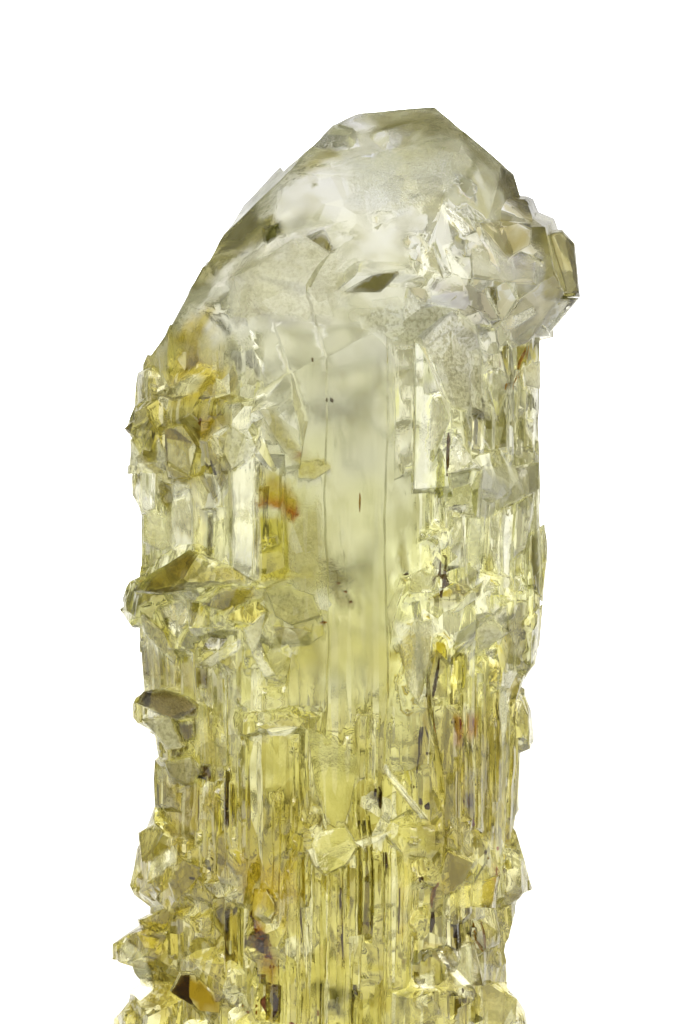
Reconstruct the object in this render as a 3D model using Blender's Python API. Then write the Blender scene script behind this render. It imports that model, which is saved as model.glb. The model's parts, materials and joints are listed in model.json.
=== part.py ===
"""Heliodor: one natural, deeply etched prism of yellow beryl, cut off flat at its foot.

Metres, +Z up along the crystal's long axis, with -Y towards the viewer and +X to the viewer's right.
The origin is on the flat foot, where the long axis meets it.

The crystal is a six-sided core. Raised growth bands run up its prism faces, hackly etch hillocks
stand on its ledges, and everything is joined into one solid. Slots and hollows are then cut out.
"""

import math
import random

import bmesh
import bpy
from mathutils import Matrix, Vector

MM = 0.001

# Driving sizes, in millimetres
HEIGHT = 60.0
CORE_RADIUS = 10.95
CORE_TURN_DEG = 5.5
FOOT_OVERRUN = 2.0
CORE_TOP_SHARE = 1.04
BAND_SINK = 1.6
HILLOCK_SINK = 1.6
DOME_CENTRE = 44.0

# Worked out from them
CORE_APOTHEM = CORE_RADIUS * math.cos(math.radians(30))
FACE_WIDTH = CORE_RADIUS

FRONT, BACK = -1, 1

# The flat cuts that shape the core: a point on each in millimetres, the bearing that it faces
# (0 towards the viewer, 90 to the viewer's right), and how far it tilts up from vertical
CORE_CUTS = [
    ("front face of the tip", (0.0, -9.3, 47.6), -9, 34),
    ("front face, upper", (1.2, -4.9, 54.9), -6, 50),
    ("front face, lower round", (0.0, -9.5, 45.9), -4, 18),
    ("front right face", (9.0, -6.2, 51.3), 36, 33),
    ("front right, lower round", (7.4, -7.6, 46.6), 42, 17),
    ("right shoulder", (12.2, 0.0, 54.0), 88, 28),
    ("right slope", (9.1, 0.0, 57.3), 86, 49),
    ("summit", (4.6, 0.0, 60.0), -86, 84),
    ("summit, left", (0.6, 0.0, 59.2), -70, 66),
    ("left slope", (-4.1, 0.0, 55.5), -80, 44),
    ("left slope, lower", (-9.3, 0.0, 48.3), -86, 28),
    ("left foot of the slope", (-10.9, 0.0, 45.2), -90, 30),
    ("front left face", (-7.6, -5.8, 47.6), -50, 31),
    ("back face of the tip", (1.0, 8.4, 51.4), 174, 30),
    ("back face, upper", (1.6, 5.0, 57.2), 170, 49),
    ("back face, lower round", (0.0, 9.4, 46.4), 180, 16),
    ("back right face", (8.6, 6.0, 52.0), 135, 34),
    ("back left face", (-7.4, 6.2, 48.6), -128, 35),
    ("back left slope", (-3.0, 5.0, 55.6), -122, 52),
    ("back right slope", (6.5, 5.2, 58.2), 128, 50),
    ("low right face", (10.1, 0.0, 10.0), 93, -4),
]

# Raised bands on the three faces that show: the face's number (0 front, 1 right, 5 left), the
# band's middle across the face, its width, its lower and upper end, and how far it stands proud
SHOWN_BANDS = [
    (0, -4.3, 2.2, -4.0, 25.6, 0.30),
    (0, -2.2, 3.4, 24.0, 47.0, 0.35),
    (0, 0.6, 4.4, 8.0, 49.0, 0.55),
    (0, 3.3, 2.6, 20.5, 46.2, 0.75),
    (0, 4.7, 1.2, 31.5, 44.5, 0.45),
    (0, -0.9, 1.0, -4.0, 14.8, 0.55),
    (0, 0.9, 0.8, -4.0, 17.0, 0.50),
    (0, 2.4, 1.3, -4.0, 18.6, 0.62),
    (0, 4.5, 1.5, -4.0, 21.5, 0.45),
    (1, -4.6, 1.5, 12.0, 24.4, 0.55),
    (1, -3.0, 1.1, -4.0, 25.6, 0.40),
    (1, -1.7, 1.3, 11.4, 26.6, 0.60),
    (1, -0.2, 1.2, 14.6, 27.2, 0.42),
    (1, 1.4, 1.6, 12.4, 26.0, 0.58),
    (1, 3.1, 1.3, 15.6, 24.4, 0.40),
    (1, -3.8, 1.6, 31.8, 44.8, 0.50),
    (1, -1.9, 1.3, 30.6, 38.8, 0.66),
    (1, -0.4, 1.0, 31.6, 39.4, 0.50),
    (1, 1.0, 1.2, 30.4, 38.0, 0.70),
    (1, 2.9, 1.9, 26.4, 46.6, 0.66),
    (1, 4.9, 2.4, 27.0, 48.0, 1.15),
    (5, -4.8, 1.9, 24.6, 41.0, 0.75),
    (5, -3.0, 1.2, 32.6, 39.4, 0.72),
    (5, -1.6, 1.3, 32.0, 38.8, 0.48),
    (5, 0.0, 1.4, 32.2, 39.6, 0.66),
    (5, 1.7, 1.5, 31.8, 38.4, 0.46),
    (5, 3.4, 1.8, 32.2, 39.8, 0.74),
    (5, -3.6, 2.0, 17.8, 28.4, 0.60),
    (5, -1.6, 1.4, 16.2, 29.0, 0.40),
    (5, 0.1, 1.5, 13.6, 27.6, 0.62),
    (5, 2.0, 1.4, 15.0, 28.2, 0.44),
    (5, 4.1, 1.9, 12.4, 27.0, 0.56),
    (5, -2.6, 1.6, -4.0, 7.6, 0.45),
    (5, 1.2, 2.2, -4.0, 9.6, 0.50),
]

# Etch hillocks: across, up, side of the crystal, width, height, and how far each stands proud
HILLOCKS = [
    ("upper left shoulder", -9.4, 43.8, FRONT, 4.6, 3.4, 0.35),
    ("upper left", -11.2, 42.6, FRONT, 5.0, 4.6, 1.05),
    ("upper left edge", -11.4, 40.2, FRONT, 4.6, 5.4, 1.75),
    ("upper left, front", -8.4, 42.4, FRONT, 6.2, 5.4, 1.30),
    ("upper left, low", -9.4, 38.6, FRONT, 5.4, 4.6, 1.25),
    ("upper left, inner", -6.2, 40.4, FRONT, 5.8, 6.2, 1.15),
    ("upper left tongue", -3.6, 40.6, FRONT, 3.4, 7.4, 0.60),
    ("upper left tooth", -7.4, 37.0, FRONT, 2.6, 4.2, 1.00),
    ("left edge, below", -11.2, 36.9, FRONT, 3.6, 4.8, 1.30),
    ("mid left roof", -8.2, 31.8, FRONT, 7.4, 4.0, 1.85),
    ("mid left edge", -11.3, 30.8, FRONT, 4.6, 3.8, 1.80),
    ("mid left tooth", -9.2, 29.0, FRONT, 5.8, 4.8, 1.10),
    ("mid left inner", -6.2, 29.8, FRONT, 6.2, 4.8, 1.70),
    ("mid left, front", -3.4, 30.4, FRONT, 5.2, 5.2, 0.95),
    ("mid left drip", -5.6, 27.2, FRONT, 3.4, 3.4, 0.95),
    ("mid left chip", -3.6, 27.0, FRONT, 1.4, 3.8, 0.50),
    ("lower left knob", -10.2, 24.0, FRONT, 5.8, 3.8, 1.35),
    ("lower left knob, under", -9.6, 21.9, FRONT, 5.4, 3.2, 1.25),
    ("lower left chip", -8.6, 20.4, FRONT, 4.2, 2.8, 0.95),
    ("lower left slab", -3.6, 23.4, FRONT, 5.2, 2.4, 0.85),
    ("low left shoulder", -10.7, 14.7, FRONT, 4.4, 6.6, 1.05),
    ("low left, front", -9.2, 13.8, FRONT, 5.8, 5.2, 1.05),
    ("low left, inner", -6.2, 15.0, FRONT, 5.2, 5.6, 0.85),
    ("low left ledge", -8.6, 10.8, FRONT, 6.0, 3.8, 1.05),
    ("foot left edge", -11.0, 9.5, FRONT, 5.4, 3.5, 2.20),
    ("foot left, inner", -7.2, 8.0, FRONT, 6.4, 5.0, 1.20),
    ("foot left, low", -10.9, 4.9, FRONT, 5.8, 5.4, 1.75),
    ("foot left, front", -7.8, 3.4, FRONT, 6.8, 5.4, 1.15),
    ("right overhang", 10.9, 50.3, FRONT, 11.5, 8.2, 2.75),
    ("right overhang, front", 9.4, 50.6, FRONT, 6.8, 7.0, 1.30),
    ("right overhang, under", 11.4, 48.0, FRONT, 8.0, 4.0, 1.55),
    ("right overhang, corner", 9.8, 48.8, FRONT, 5.6, 5.4, 1.75),
    ("right overhang, behind", 9.6, 49.4, BACK, 6.4, 6.4, 1.60),
    ("right shoulder step", 11.4, 53.6, FRONT, 6.0, 3.2, 0.95),
    ("right, upper", 9.4, 41.6, FRONT, 4.8, 5.4, 0.95),
    ("right plate", 8.2, 37.8, FRONT, 6.8, 4.0, 1.30),
    ("right, inner step", 5.9, 39.2, FRONT, 3.6, 5.4, 0.85),
    ("right edge, mid", 11.4, 36.6, FRONT, 3.4, 7.0, 0.80),
    ("right tip", 11.6, 33.6, FRONT, 2.4, 2.2, 1.10),
    ("right, lower cluster", 8.3, 30.6, FRONT, 6.0, 5.0, 1.10),
    ("right edge, lower", 11.3, 29.4, FRONT, 3.6, 7.4, 1.05),
    ("right, inner cluster", 5.5, 29.6, FRONT, 5.4, 5.4, 0.95),
    ("right, low cluster", 9.4, 26.9, FRONT, 5.4, 4.4, 0.95),
    ("centre right tongue", 4.9, 26.0, FRONT, 3.4, 5.6, 0.85),
    ("low right bulge", 10.8, 23.4, FRONT, 3.0, 4.6, 0.65),
    ("low right edge", 10.2, 14.4, FRONT, 4.4, 4.6, 1.15),
    ("low right, front", 7.3, 15.0, FRONT, 5.8, 4.6, 0.95),
    ("low right, inner", 4.5, 16.6, FRONT, 4.4, 4.0, 0.80),
    ("low right, under", 8.4, 11.0, FRONT, 4.8, 4.0, 0.75),
    ("foot right edge", 9.8, 4.9, FRONT, 5.0, 5.0, 1.30),
    ("foot right, front", 6.4, 6.6, FRONT, 5.8, 4.4, 0.95),
    ("centre shelf", -0.9, 16.6, FRONT, 4.2, 3.8, 1.05),
    ("centre shelf, right", 1.6, 18.2, FRONT, 4.6, 3.8, 0.95),
    ("centre blade", 3.6, 19.4, FRONT, 2.0, 4.8, 0.85),
    ("tip, left bright facet", -3.2, 50.6, FRONT, 5.6, 4.8, 0.30),
    ("tip, middle step", 2.6, 49.6, FRONT, 5.4, 3.2, 0.45),
    ("tip, white step", 6.0, 49.2, FRONT, 4.6, 3.4, 0.55),
    ("tip, grey step", 7.6, 46.8, FRONT, 4.8, 3.2, 0.60),
    ("tip, right strip", 7.6, 53.0, FRONT, 3.4, 4.2, 0.35),
    ("crest, left", -0.2, 58.4, FRONT, 4.4, 2.6, 0.30),
    ("crest, right", 4.6, 58.8, FRONT, 5.4, 2.4, 0.25),
    ("crest, back", 1.8, 58.0, BACK, 6.4, 3.2, 0.30),
]

# Hillocks on the sides that the viewer doesn't face stand in rough belts round the prism: how
# high each belt lies, how many it holds, and the least and greatest width in it
BACK_BELTS = [
    (4.2, 5, 4.5, 7.5),
    (12.4, 4, 4.0, 6.5),
    (20.2, 5, 3.0, 5.5),
    (28.8, 4, 5.0, 8.0),
    (34.4, 3, 3.0, 5.0),
    (41.6, 5, 4.5, 7.5),
    (48.4, 3, 4.0, 6.5),
]
BACK_BANDS_PER_FACE = 7

# Slots and hollows: across, up, width, height, depth, lean from upright in degrees
HOLLOWS = [
    ("long etch slot", 5.35, 24.6, 0.55, 12.0, 1.5, -9),
    ("upper etch slot", 6.15, 36.4, 0.50, 6.5, 1.3, -6),
    ("frosted hollow", 6.0, 45.0, 4.6, 6.6, 0.75, 22),
    ("amber hollow", -4.0, 36.4, 1.9, 5.6, 0.70, 0),
    ("low centre slot", 1.7, 14.2, 0.45, 7.5, 0.9, 0),
    ("left low slot", -5.0, 12.0, 0.8, 6.2, 1.1, 12),
    ("dark chip pit", -4.0, 6.9, 1.7, 2.2, 0.9, 14),
]

HELIODOR_COLOUR = (0.86, 0.85, 0.52, 1.0)
HELIODOR_IOR = 1.577


def clear_scene():
    for obj in list(bpy.data.objects):
        bpy.data.objects.remove(obj, do_unlink=True)


def new_collection(name):
    made = bpy.data.collections.new(name)
    bpy.context.scene.collection.children.link(made)
    return made


def heliodor_material():
    material = bpy.data.materials.new("heliodor")
    material.use_nodes = True
    shader = material.node_tree.nodes["Principled BSDF"]
    shader.inputs["Base Color"].default_value = HELIODOR_COLOUR
    shader.inputs["Roughness"].default_value = 0.05
    shader.inputs["Metallic"].default_value = 0.0
    shader.inputs["IOR"].default_value = HELIODOR_IOR
    shader.inputs["Transmission Weight"].default_value = 0.9
    return material


def facing(bearing_deg, tilt_deg=0.0):
    """The direction of a bearing round the crystal, tilted up from the horizontal."""
    bearing, tilt = math.radians(bearing_deg), math.radians(tilt_deg)
    return Vector((
        math.sin(bearing) * math.cos(tilt),
        -math.cos(bearing) * math.cos(tilt),
        math.sin(tilt),
    ))


def face_bearing(number):
    """The bearing that a prism face looks along. They go round to the right in steps of 60."""
    return CORE_TURN_DEG + 60 * number


def core_planes():
    """A point and an outward direction for every flat face of the core, prism faces first."""
    planes = []
    for number in range(6):
        normal = facing(face_bearing(number))
        planes.append((normal * CORE_APOTHEM, normal))
    for _, point, bearing, tilt in CORE_CUTS:
        planes.append((Vector(point), facing(bearing, tilt)))
    return planes


def skin_point(x, z, side):
    """Where the core's surface lies at x and z, seen from one side, and the way it bulges there."""
    near, far = (-math.inf, None), (math.inf, None)
    for point, normal in core_planes():
        room = normal.dot(point) - normal.x * x - normal.z * z
        y = room / normal.y
        if normal.y < 0:
            near = max(near, (y, normal), key=lambda entry: entry[0])
        else:
            far = min(far, (y, normal), key=lambda entry: entry[0])
    if near[0] > far[0]:
        return skin_point(x * 0.99, z, side)
    y, normal = near if side == FRONT else far
    place = Vector((x, y, z))
    from_axis = place - Vector((0, 0, min(z, DOME_CENTRE)))
    return place, (normal + from_axis.normalized()).normalized()


def cut_flat(shape, point, normal):
    """Slices off what lies beyond a plane and closes the cut with one flat face."""
    made = bmesh.ops.bisect_plane(
        shape,
        geom=shape.verts[:] + shape.edges[:] + shape.faces[:],
        plane_co=point,
        plane_no=normal,
        clear_outer=True,
    )
    rim = [item for item in made["geom_cut"] if isinstance(item, bmesh.types.BMEdge)]
    if rim:
        bmesh.ops.holes_fill(shape, edges=rim, sides=0)


def block(centre, size, bearing_deg, lean_deg=0.0, tilt_deg=0.0):
    """A box whose depth runs along a bearing, leaning sideways and tilted up by angles."""
    shape = bmesh.new()
    bmesh.ops.create_cube(shape, size=1.0)
    bmesh.ops.scale(shape, vec=Vector(size), verts=shape.verts)
    lean = Matrix.Rotation(math.radians(lean_deg), 3, "Y")
    tilt = Matrix.Rotation(math.radians(-tilt_deg), 3, "X")
    turn = Matrix.Rotation(math.radians(bearing_deg), 3, "Z")
    bmesh.ops.rotate(shape, cent=(0, 0, 0), matrix=turn @ tilt @ lean, verts=shape.verts)
    bmesh.ops.translate(shape, vec=centre, verts=shape.verts)
    return shape


def to_object(shape, name, collection, material=None, helper=True):
    """Turns a shape in millimetres into an object in metres."""
    bmesh.ops.scale(shape, vec=Vector((MM, MM, MM)), verts=shape.verts)
    bmesh.ops.recalc_face_normals(shape, faces=shape.faces)
    mesh = bpy.data.meshes.new(name)
    shape.to_mesh(mesh)
    shape.free()
    obj = bpy.data.objects.new(name, mesh)
    collection.objects.link(obj)
    if material:
        mesh.materials.append(material)
    if helper:
        obj.hide_render = True
        obj.display_type = "WIRE"
    return obj


def cut_to_core(shape, proud):
    """Cuts a shape back along the core's own cuts, leaving it a distance proud of them."""
    for _, point, bearing, tilt in CORE_CUTS:
        normal = facing(bearing, tilt)
        cut_flat(shape, Vector(point) + normal * proud, normal)


def core_shape():
    """The six-sided prism, cut back where its tip has dissolved."""
    length = HEIGHT * CORE_TOP_SHARE + FOOT_OVERRUN
    shape = bmesh.new()
    bmesh.ops.create_cone(
        shape,
        cap_ends=True,
        segments=6,
        radius1=CORE_RADIUS,
        radius2=CORE_RADIUS,
        depth=length,
    )
    # Blender sets a cone's first corner on +Y, and a prism face has to look along its bearing
    turn = Matrix.Rotation(math.radians(CORE_TURN_DEG + 30), 3, "Z")
    bmesh.ops.rotate(shape, cent=(0, 0, 0), matrix=turn, verts=shape.verts)
    bmesh.ops.translate(shape, vec=(0, 0, length / 2 - FOOT_OVERRUN), verts=shape.verts)
    cut_to_core(shape, 0.0)
    return shape


def band_shape(face, across, width, low, high, proud, end_tilts):
    """A growth band on a prism face. Its sides follow the neighbouring prism faces."""
    bearing = face_bearing(face)
    outward, sideways = facing(bearing), facing(bearing + 90)
    skin = outward * CORE_APOTHEM + sideways * across
    centre = skin + outward * (proud - BAND_SINK) / 2 + Vector((0, 0, (low + high) / 2))
    slope = 2 * (proud + BAND_SINK)
    shape = block(centre, (width + slope * 2, proud + BAND_SINK, high - low), bearing)
    crown = skin + outward * proud
    for way in (-1, 1):
        edge = crown + sideways * (way * width / 2)
        cut_flat(shape, edge, facing(bearing + way * 60))
    cut_flat(shape, crown + Vector((0, 0, high - 0.4)), facing(bearing, end_tilts[0]))
    cut_flat(shape, crown + Vector((0, 0, low + 0.4)), facing(bearing, -end_tilts[1]))
    cut_to_core(shape, proud * 0.6)
    return shape


def hillock_shape(x, z, side, width, height, proud, seed):
    """An etch hillock: a block with its corners cut back along the crystal's own face angles."""
    rng = random.Random(seed)
    skin, outward = skin_point(x, z, side)
    bearing = math.degrees(math.atan2(outward.x, -outward.y))
    tilt_up = math.degrees(math.asin(outward.z))
    depth = proud + HILLOCK_SINK + 0.2 * width
    centre = skin + outward * (proud - depth / 2)
    shape = block(centre, (width, depth, height), bearing, rng.uniform(-12, 12), tilt_up)
    upward = facing(bearing, tilt_up + 90)
    reach = (facing(bearing + 90) * width / 2, outward * depth / 2, upward * height / 2)
    for tilt in (52, 10, -46):
        for step in range(3):
            cut_bearing = bearing - 62 + 62 * step + rng.uniform(-24, 24)
            normal = facing(cut_bearing, tilt + tilt_up + rng.uniform(-14, 14))
            support = math.sqrt(sum(axis.dot(normal) ** 2 for axis in reach))
            cut_flat(shape, centre + normal * support * rng.uniform(0.84, 1.2), normal)
    return shape


def hollow_shape(x, z, width, height, depth, lean_deg):
    """A cutter for a slot or hollow: a leaning block with a pointed top and bottom."""
    skin, outward = skin_point(x, z, FRONT)
    bearing = math.degrees(math.atan2(outward.x, -outward.y))
    tilt_up = math.degrees(math.asin(outward.z))
    margin = 3.0
    centre = skin + outward * (margin - depth) / 2
    shape = block(centre, (width, depth + margin, height), bearing, lean_deg, tilt_up)
    floor = skin - outward * depth
    upward = facing(bearing, tilt_up + 90)
    for way in (-1, 1):
        end = floor + upward * (way * height * 0.36)
        cut_flat(shape, end, facing(bearing + 180, way * 52))
        edge = floor + facing(bearing + 90) * (way * width * 0.22)
        cut_flat(shape, edge, facing(bearing + way * 115))
    return shape


def add_bands(collection):
    rng = random.Random(7)
    for index, (face, across, width, low, high, proud) in enumerate(SHOWN_BANDS):
        tilts = (rng.uniform(28, 62), rng.uniform(24, 58))
        shape = band_shape(face, across, width, low, high, proud, tilts)
        to_object(shape, f"band_{index + 1}", collection)
    for face in (2, 3, 4):
        across = -FACE_WIDTH / 2
        for index in range(BACK_BANDS_PER_FACE):
            width = rng.uniform(1.1, 2.3)
            low = rng.choice([-4.0, 11.0, 19.5, 27.8]) + rng.uniform(-1.5, 1.5)
            high = min(low + rng.uniform(9.0, 24.0), 47.0)
            tilts = (rng.uniform(28, 62), rng.uniform(24, 58))
            middle = across + FACE_WIDTH / BACK_BANDS_PER_FACE * (index + 0.5)
            shape = band_shape(face, middle, width, low, high, rng.uniform(0.35, 0.8), tilts)
            to_object(shape, f"back_band_{face}_{index + 1}", collection)


def add_hillocks(collection):
    for index, (name, x, z, side, width, height, proud) in enumerate(HILLOCKS):
        shape = hillock_shape(x, z, side, width, height, proud, seed=index)
        to_object(shape, f"hillock {name}", collection)
    rng = random.Random(23)
    for belt, (middle, count, narrow, wide) in enumerate(BACK_BELTS):
        for index in range(count):
            x = -9.0 + 18.0 * (index + rng.uniform(0.1, 0.9)) / count
            z = middle + rng.uniform(-2.2, 2.2)
            width = rng.uniform(narrow, wide)
            proud = rng.uniform(0.5, 1.2) * (0.4 if middle > DOME_CENTRE else 1)
            height = width * rng.uniform(0.55, 0.95)
            shape = hillock_shape(x, z, BACK, width, height, proud, 100 + 10 * belt + index)
            to_object(shape, f"back_hillock_{belt + 1}_{index + 1}", collection)


def add_hollows(collection):
    for name, x, z, width, height, depth, lean in HOLLOWS:
        to_object(hollow_shape(x, z, width, height, depth, lean), f"cut {name}", collection)


def add_foot_cutter(collection):
    """The block that cuts the foot off flat, at the height of the origin."""
    size = 4 * CORE_RADIUS
    shape = block(Vector((0, 0, -size / 2)), (size, size, size), 0)
    to_object(shape, "cut foot", collection)


def boolean(obj, name, operation, other, solver="EXACT"):
    modifier = obj.modifiers.new(name, "BOOLEAN")
    modifier.operation = operation
    modifier.solver = solver
    if isinstance(other, bpy.types.Collection):
        modifier.operand_type = "COLLECTION"
        modifier.collection = other
    else:
        modifier.object = other


def main():
    clear_scene()
    crystal_parts = new_collection("heliodor")
    growths = new_collection("growths")
    cutters = new_collection("cutters")
    crystal = to_object(
        core_shape(), "heliodor_crystal", crystal_parts, heliodor_material(), helper=False
    )
    add_bands(growths)
    add_hillocks(growths)
    boolean(crystal, "join growths", "UNION", growths)
    add_hollows(cutters)
    add_foot_cutter(cutters)
    # The exact solver leaves open edges where the hollows cross the growths
    boolean(crystal, "cut hollows", "DIFFERENCE", cutters, solver="MANIFOLD")


main()
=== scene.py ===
import json
import math
import random

import bmesh
import bpy
import numpy as np
from mathutils import Matrix, Vector
from mathutils.bvhtree import BVHTree
from mathutils.noise import noise_vector, seed_set

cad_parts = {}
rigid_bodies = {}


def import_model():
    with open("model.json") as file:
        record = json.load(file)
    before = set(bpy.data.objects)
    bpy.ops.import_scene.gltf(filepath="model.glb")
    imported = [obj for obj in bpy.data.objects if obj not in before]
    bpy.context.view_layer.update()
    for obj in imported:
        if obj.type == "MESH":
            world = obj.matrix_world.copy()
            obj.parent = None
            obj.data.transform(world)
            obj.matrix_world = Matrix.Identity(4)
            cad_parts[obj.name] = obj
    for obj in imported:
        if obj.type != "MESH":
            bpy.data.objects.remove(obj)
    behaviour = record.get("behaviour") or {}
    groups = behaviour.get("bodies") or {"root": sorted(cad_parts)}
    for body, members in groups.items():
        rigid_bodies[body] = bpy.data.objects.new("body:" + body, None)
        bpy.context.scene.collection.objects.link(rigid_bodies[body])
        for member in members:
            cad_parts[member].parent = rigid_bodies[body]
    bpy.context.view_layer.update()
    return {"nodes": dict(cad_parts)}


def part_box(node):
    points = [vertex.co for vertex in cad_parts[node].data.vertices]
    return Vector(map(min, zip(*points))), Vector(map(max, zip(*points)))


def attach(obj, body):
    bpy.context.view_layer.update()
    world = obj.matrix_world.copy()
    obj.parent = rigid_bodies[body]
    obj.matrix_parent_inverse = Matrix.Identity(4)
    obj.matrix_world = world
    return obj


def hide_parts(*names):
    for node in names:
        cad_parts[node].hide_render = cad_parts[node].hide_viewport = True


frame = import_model()

# The crystal: one prism of yellow beryl, etched by the fluids that it grew from.
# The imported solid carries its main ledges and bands. Here the finest growth lines, etch steps
# and pits of the same six-sided lattice are fused to it and cut into it.

MM = 0.001
LATTICE_TURN = 5.5
PRISM_APOTHEM = 9.483
FRONT, BACK = -1, 1


def facing(bearing_deg, tilt_deg=0.0):
    """A direction: 0 is towards the viewer, 90 to the viewer's right, and the tilt is upwards."""
    bearing, tilt = math.radians(bearing_deg), math.radians(tilt_deg)
    return Vector((
        math.sin(bearing) * math.cos(tilt),
        -math.cos(bearing) * math.cos(tilt),
        math.sin(tilt),
    ))


def bearing_of(direction):
    return math.degrees(math.atan2(direction.x, -direction.y))


def new_piece(name, shape, helper=None):
    """An object in metres from a shape in millimetres."""
    bmesh.ops.scale(shape, vec=Vector((MM, MM, MM)), verts=shape.verts)
    bmesh.ops.recalc_face_normals(shape, faces=shape.faces)
    mesh = bpy.data.meshes.new(name)
    shape.to_mesh(mesh)
    shape.free()
    piece = bpy.data.objects.new(name, mesh)
    (helper or bpy.context.scene.collection).objects.link(piece)
    return piece


def crystal_surface(solid):
    """The solid's surface in millimetres, for finding where a growth or an inclusion sits."""
    shape = bmesh.new()
    shape.from_mesh(solid.data)
    bmesh.ops.scale(shape, vec=Vector((1 / MM,) * 3), verts=shape.verts)
    tree = BVHTree.FromBMesh(shape)
    shape.free()
    return tree


def seen_point(surface, x, z, side=FRONT):
    """The surface point at x and z that shows from the front or the back, and the way it faces."""
    place, normal, _, _ = surface.ray_cast(Vector((x, side * 40.0, z)), Vector((0, -side, 0)))
    if place is None:
        return None
    return place, normal


def welded_copy(node, name):
    """A new object with the node's mesh, its shared corners joined."""
    shape = bmesh.new()
    shape.from_mesh(node.data)
    bmesh.ops.scale(shape, vec=Vector((1 / MM,) * 3), verts=shape.verts)
    bmesh.ops.remove_doubles(shape, verts=shape.verts, dist=1e-4)
    return new_piece(name, shape)


crystal = welded_copy(frame["nodes"]["heliodor_crystal"], "etched_crystal")
surface = crystal_surface(crystal)


def lattice_step(rng, centre, outward, width, height, depth):
    """A small etch step: a block whose cut corners all follow the lattice's own face angles."""
    bearing = bearing_of(outward)
    face = LATTICE_TURN + 60 * round((bearing - LATTICE_TURN) / 60)
    shape = bmesh.new()
    bmesh.ops.create_cube(shape, size=1.0)
    bmesh.ops.scale(shape, vec=Vector((width, depth, height)), verts=shape.verts)
    turn = Matrix.Rotation(math.radians(bearing + rng.uniform(-8, 8)), 3, "Z")
    bmesh.ops.rotate(shape, cent=(0, 0, 0), matrix=turn, verts=shape.verts)
    bmesh.ops.translate(shape, vec=centre, verts=shape.verts)
    angles = [(0, 52), (-58, 38), (62, 34), (0, -55), (-52, -40), (55, -36), (-60, 0), (60, 0)]
    across = facing(bearing + 90)
    ahead = facing(bearing)
    for turn_by, tilt in rng.sample(angles, 6):
        normal = facing(face + turn_by + rng.uniform(-5, 5), tilt + rng.uniform(-5, 5))
        reach = math.sqrt(
            (across.dot(normal) * width / 2) ** 2
            + (ahead.dot(normal) * depth / 2) ** 2
            + (normal.z * height / 2) ** 2
        )
        point = centre + normal * reach * rng.uniform(0.7, 1.1)
        made = bmesh.ops.bisect_plane(
            shape,
            geom=shape.verts[:] + shape.edges[:] + shape.faces[:],
            plane_co=point,
            plane_no=normal,
            clear_outer=True,
        )
        rim = [item for item in made["geom_cut"] if isinstance(item, bmesh.types.BMEdge)]
        if rim:
            bmesh.ops.holes_fill(shape, edges=rim, sides=0)
    return shape


def growth_line(rng, place, bearing, width, low, high, proud):
    """A fine vertical growth line on a prism face, with slanting ends."""
    outward, across = facing(bearing), facing(bearing + 90)
    sink = 0.5
    foot_half = width / 2 + 0.577 * (proud + sink)
    shape = bmesh.new()
    corners = []
    for level, slant in ((low, -rng.uniform(0.3, 1.5)), (high, rng.uniform(0.3, 1.5))):
        for depth, half in ((proud, width / 2), (-sink, foot_half)):
            for way in (-1, 1):
                up = level + (slant * sink if depth < 0 else 0)
                spot = Vector((place.x, place.y, 0)) + outward * depth + across * (way * half)
                corners.append(shape.verts.new(spot + Vector((0, 0, up))))
    bmesh.ops.convex_hull(shape, input=corners)
    return shape


def face_block(depth, bearing, tilt, outline):
    """A closed block whose flat front gives the crystal one etch face, raised or cut in."""
    x = sum(corner[0] for corner in outline) / len(outline)
    z = sum(corner[1] for corner in outline) / len(outline)
    found = None
    inwards = 1.0
    while found is None:
        found = seen_point(surface, x * inwards, z)
        inwards -= 0.02
    origin = found[0] - Vector((0, depth, 0))
    normal = facing(bearing, tilt)
    shape = bmesh.new()
    corners = []
    for corner_x, corner_z in outline:
        slope = ((corner_x - x) * normal.x + (corner_z - z) * normal.z) / -normal.y
        y = origin.y + min(max(slope, -STEEPEST), STEEPEST)
        corners.append(shape.verts.new((corner_x, y, corner_z)))
        flare, far = (1.15, origin.y + 1.6) if depth > 0 else (1.3, origin.y - 3.4)
        spread_x, spread_z = x + (corner_x - x) * flare, z + (corner_z - z) * flare
        corners.append(shape.verts.new((spread_x, far, spread_z)))
    made = bmesh.ops.convex_hull(shape, input=corners)
    spare = {item for item in made["geom_interior"] + made["geom_unused"] if item.is_valid}
    spare = [item for item in spare if isinstance(item, bmesh.types.BMVert)]
    bmesh.ops.delete(shape, geom=spare, context="VERTS")
    return shape


def through_block(outline):
    """A closed block with this outline that runs right through the crystal from front to back."""
    shape = bmesh.new()
    near = [shape.verts.new((x, -20.0, z)) for x, z in outline]
    far = [shape.verts.new((x, 20.0, z)) for x, z in outline]
    shape.faces.new(near)
    shape.faces.new(far[::-1])
    for index in range(len(outline)):
        after = (index + 1) % len(outline)
        shape.faces.new((near[index], far[index], far[after], near[after]))
    return shape


def inside(x, z, outline):
    crossings = 0
    for (x0, z0), (x1, z1) in zip(outline, outline[1:] + outline[:1]):
        if (z0 > z) != (z1 > z) and x < x0 + (x1 - x0) * (z - z0) / (z1 - z0):
            crossings += 1
    return crossings % 2 == 1


STEEPEST = 1.3

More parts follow.
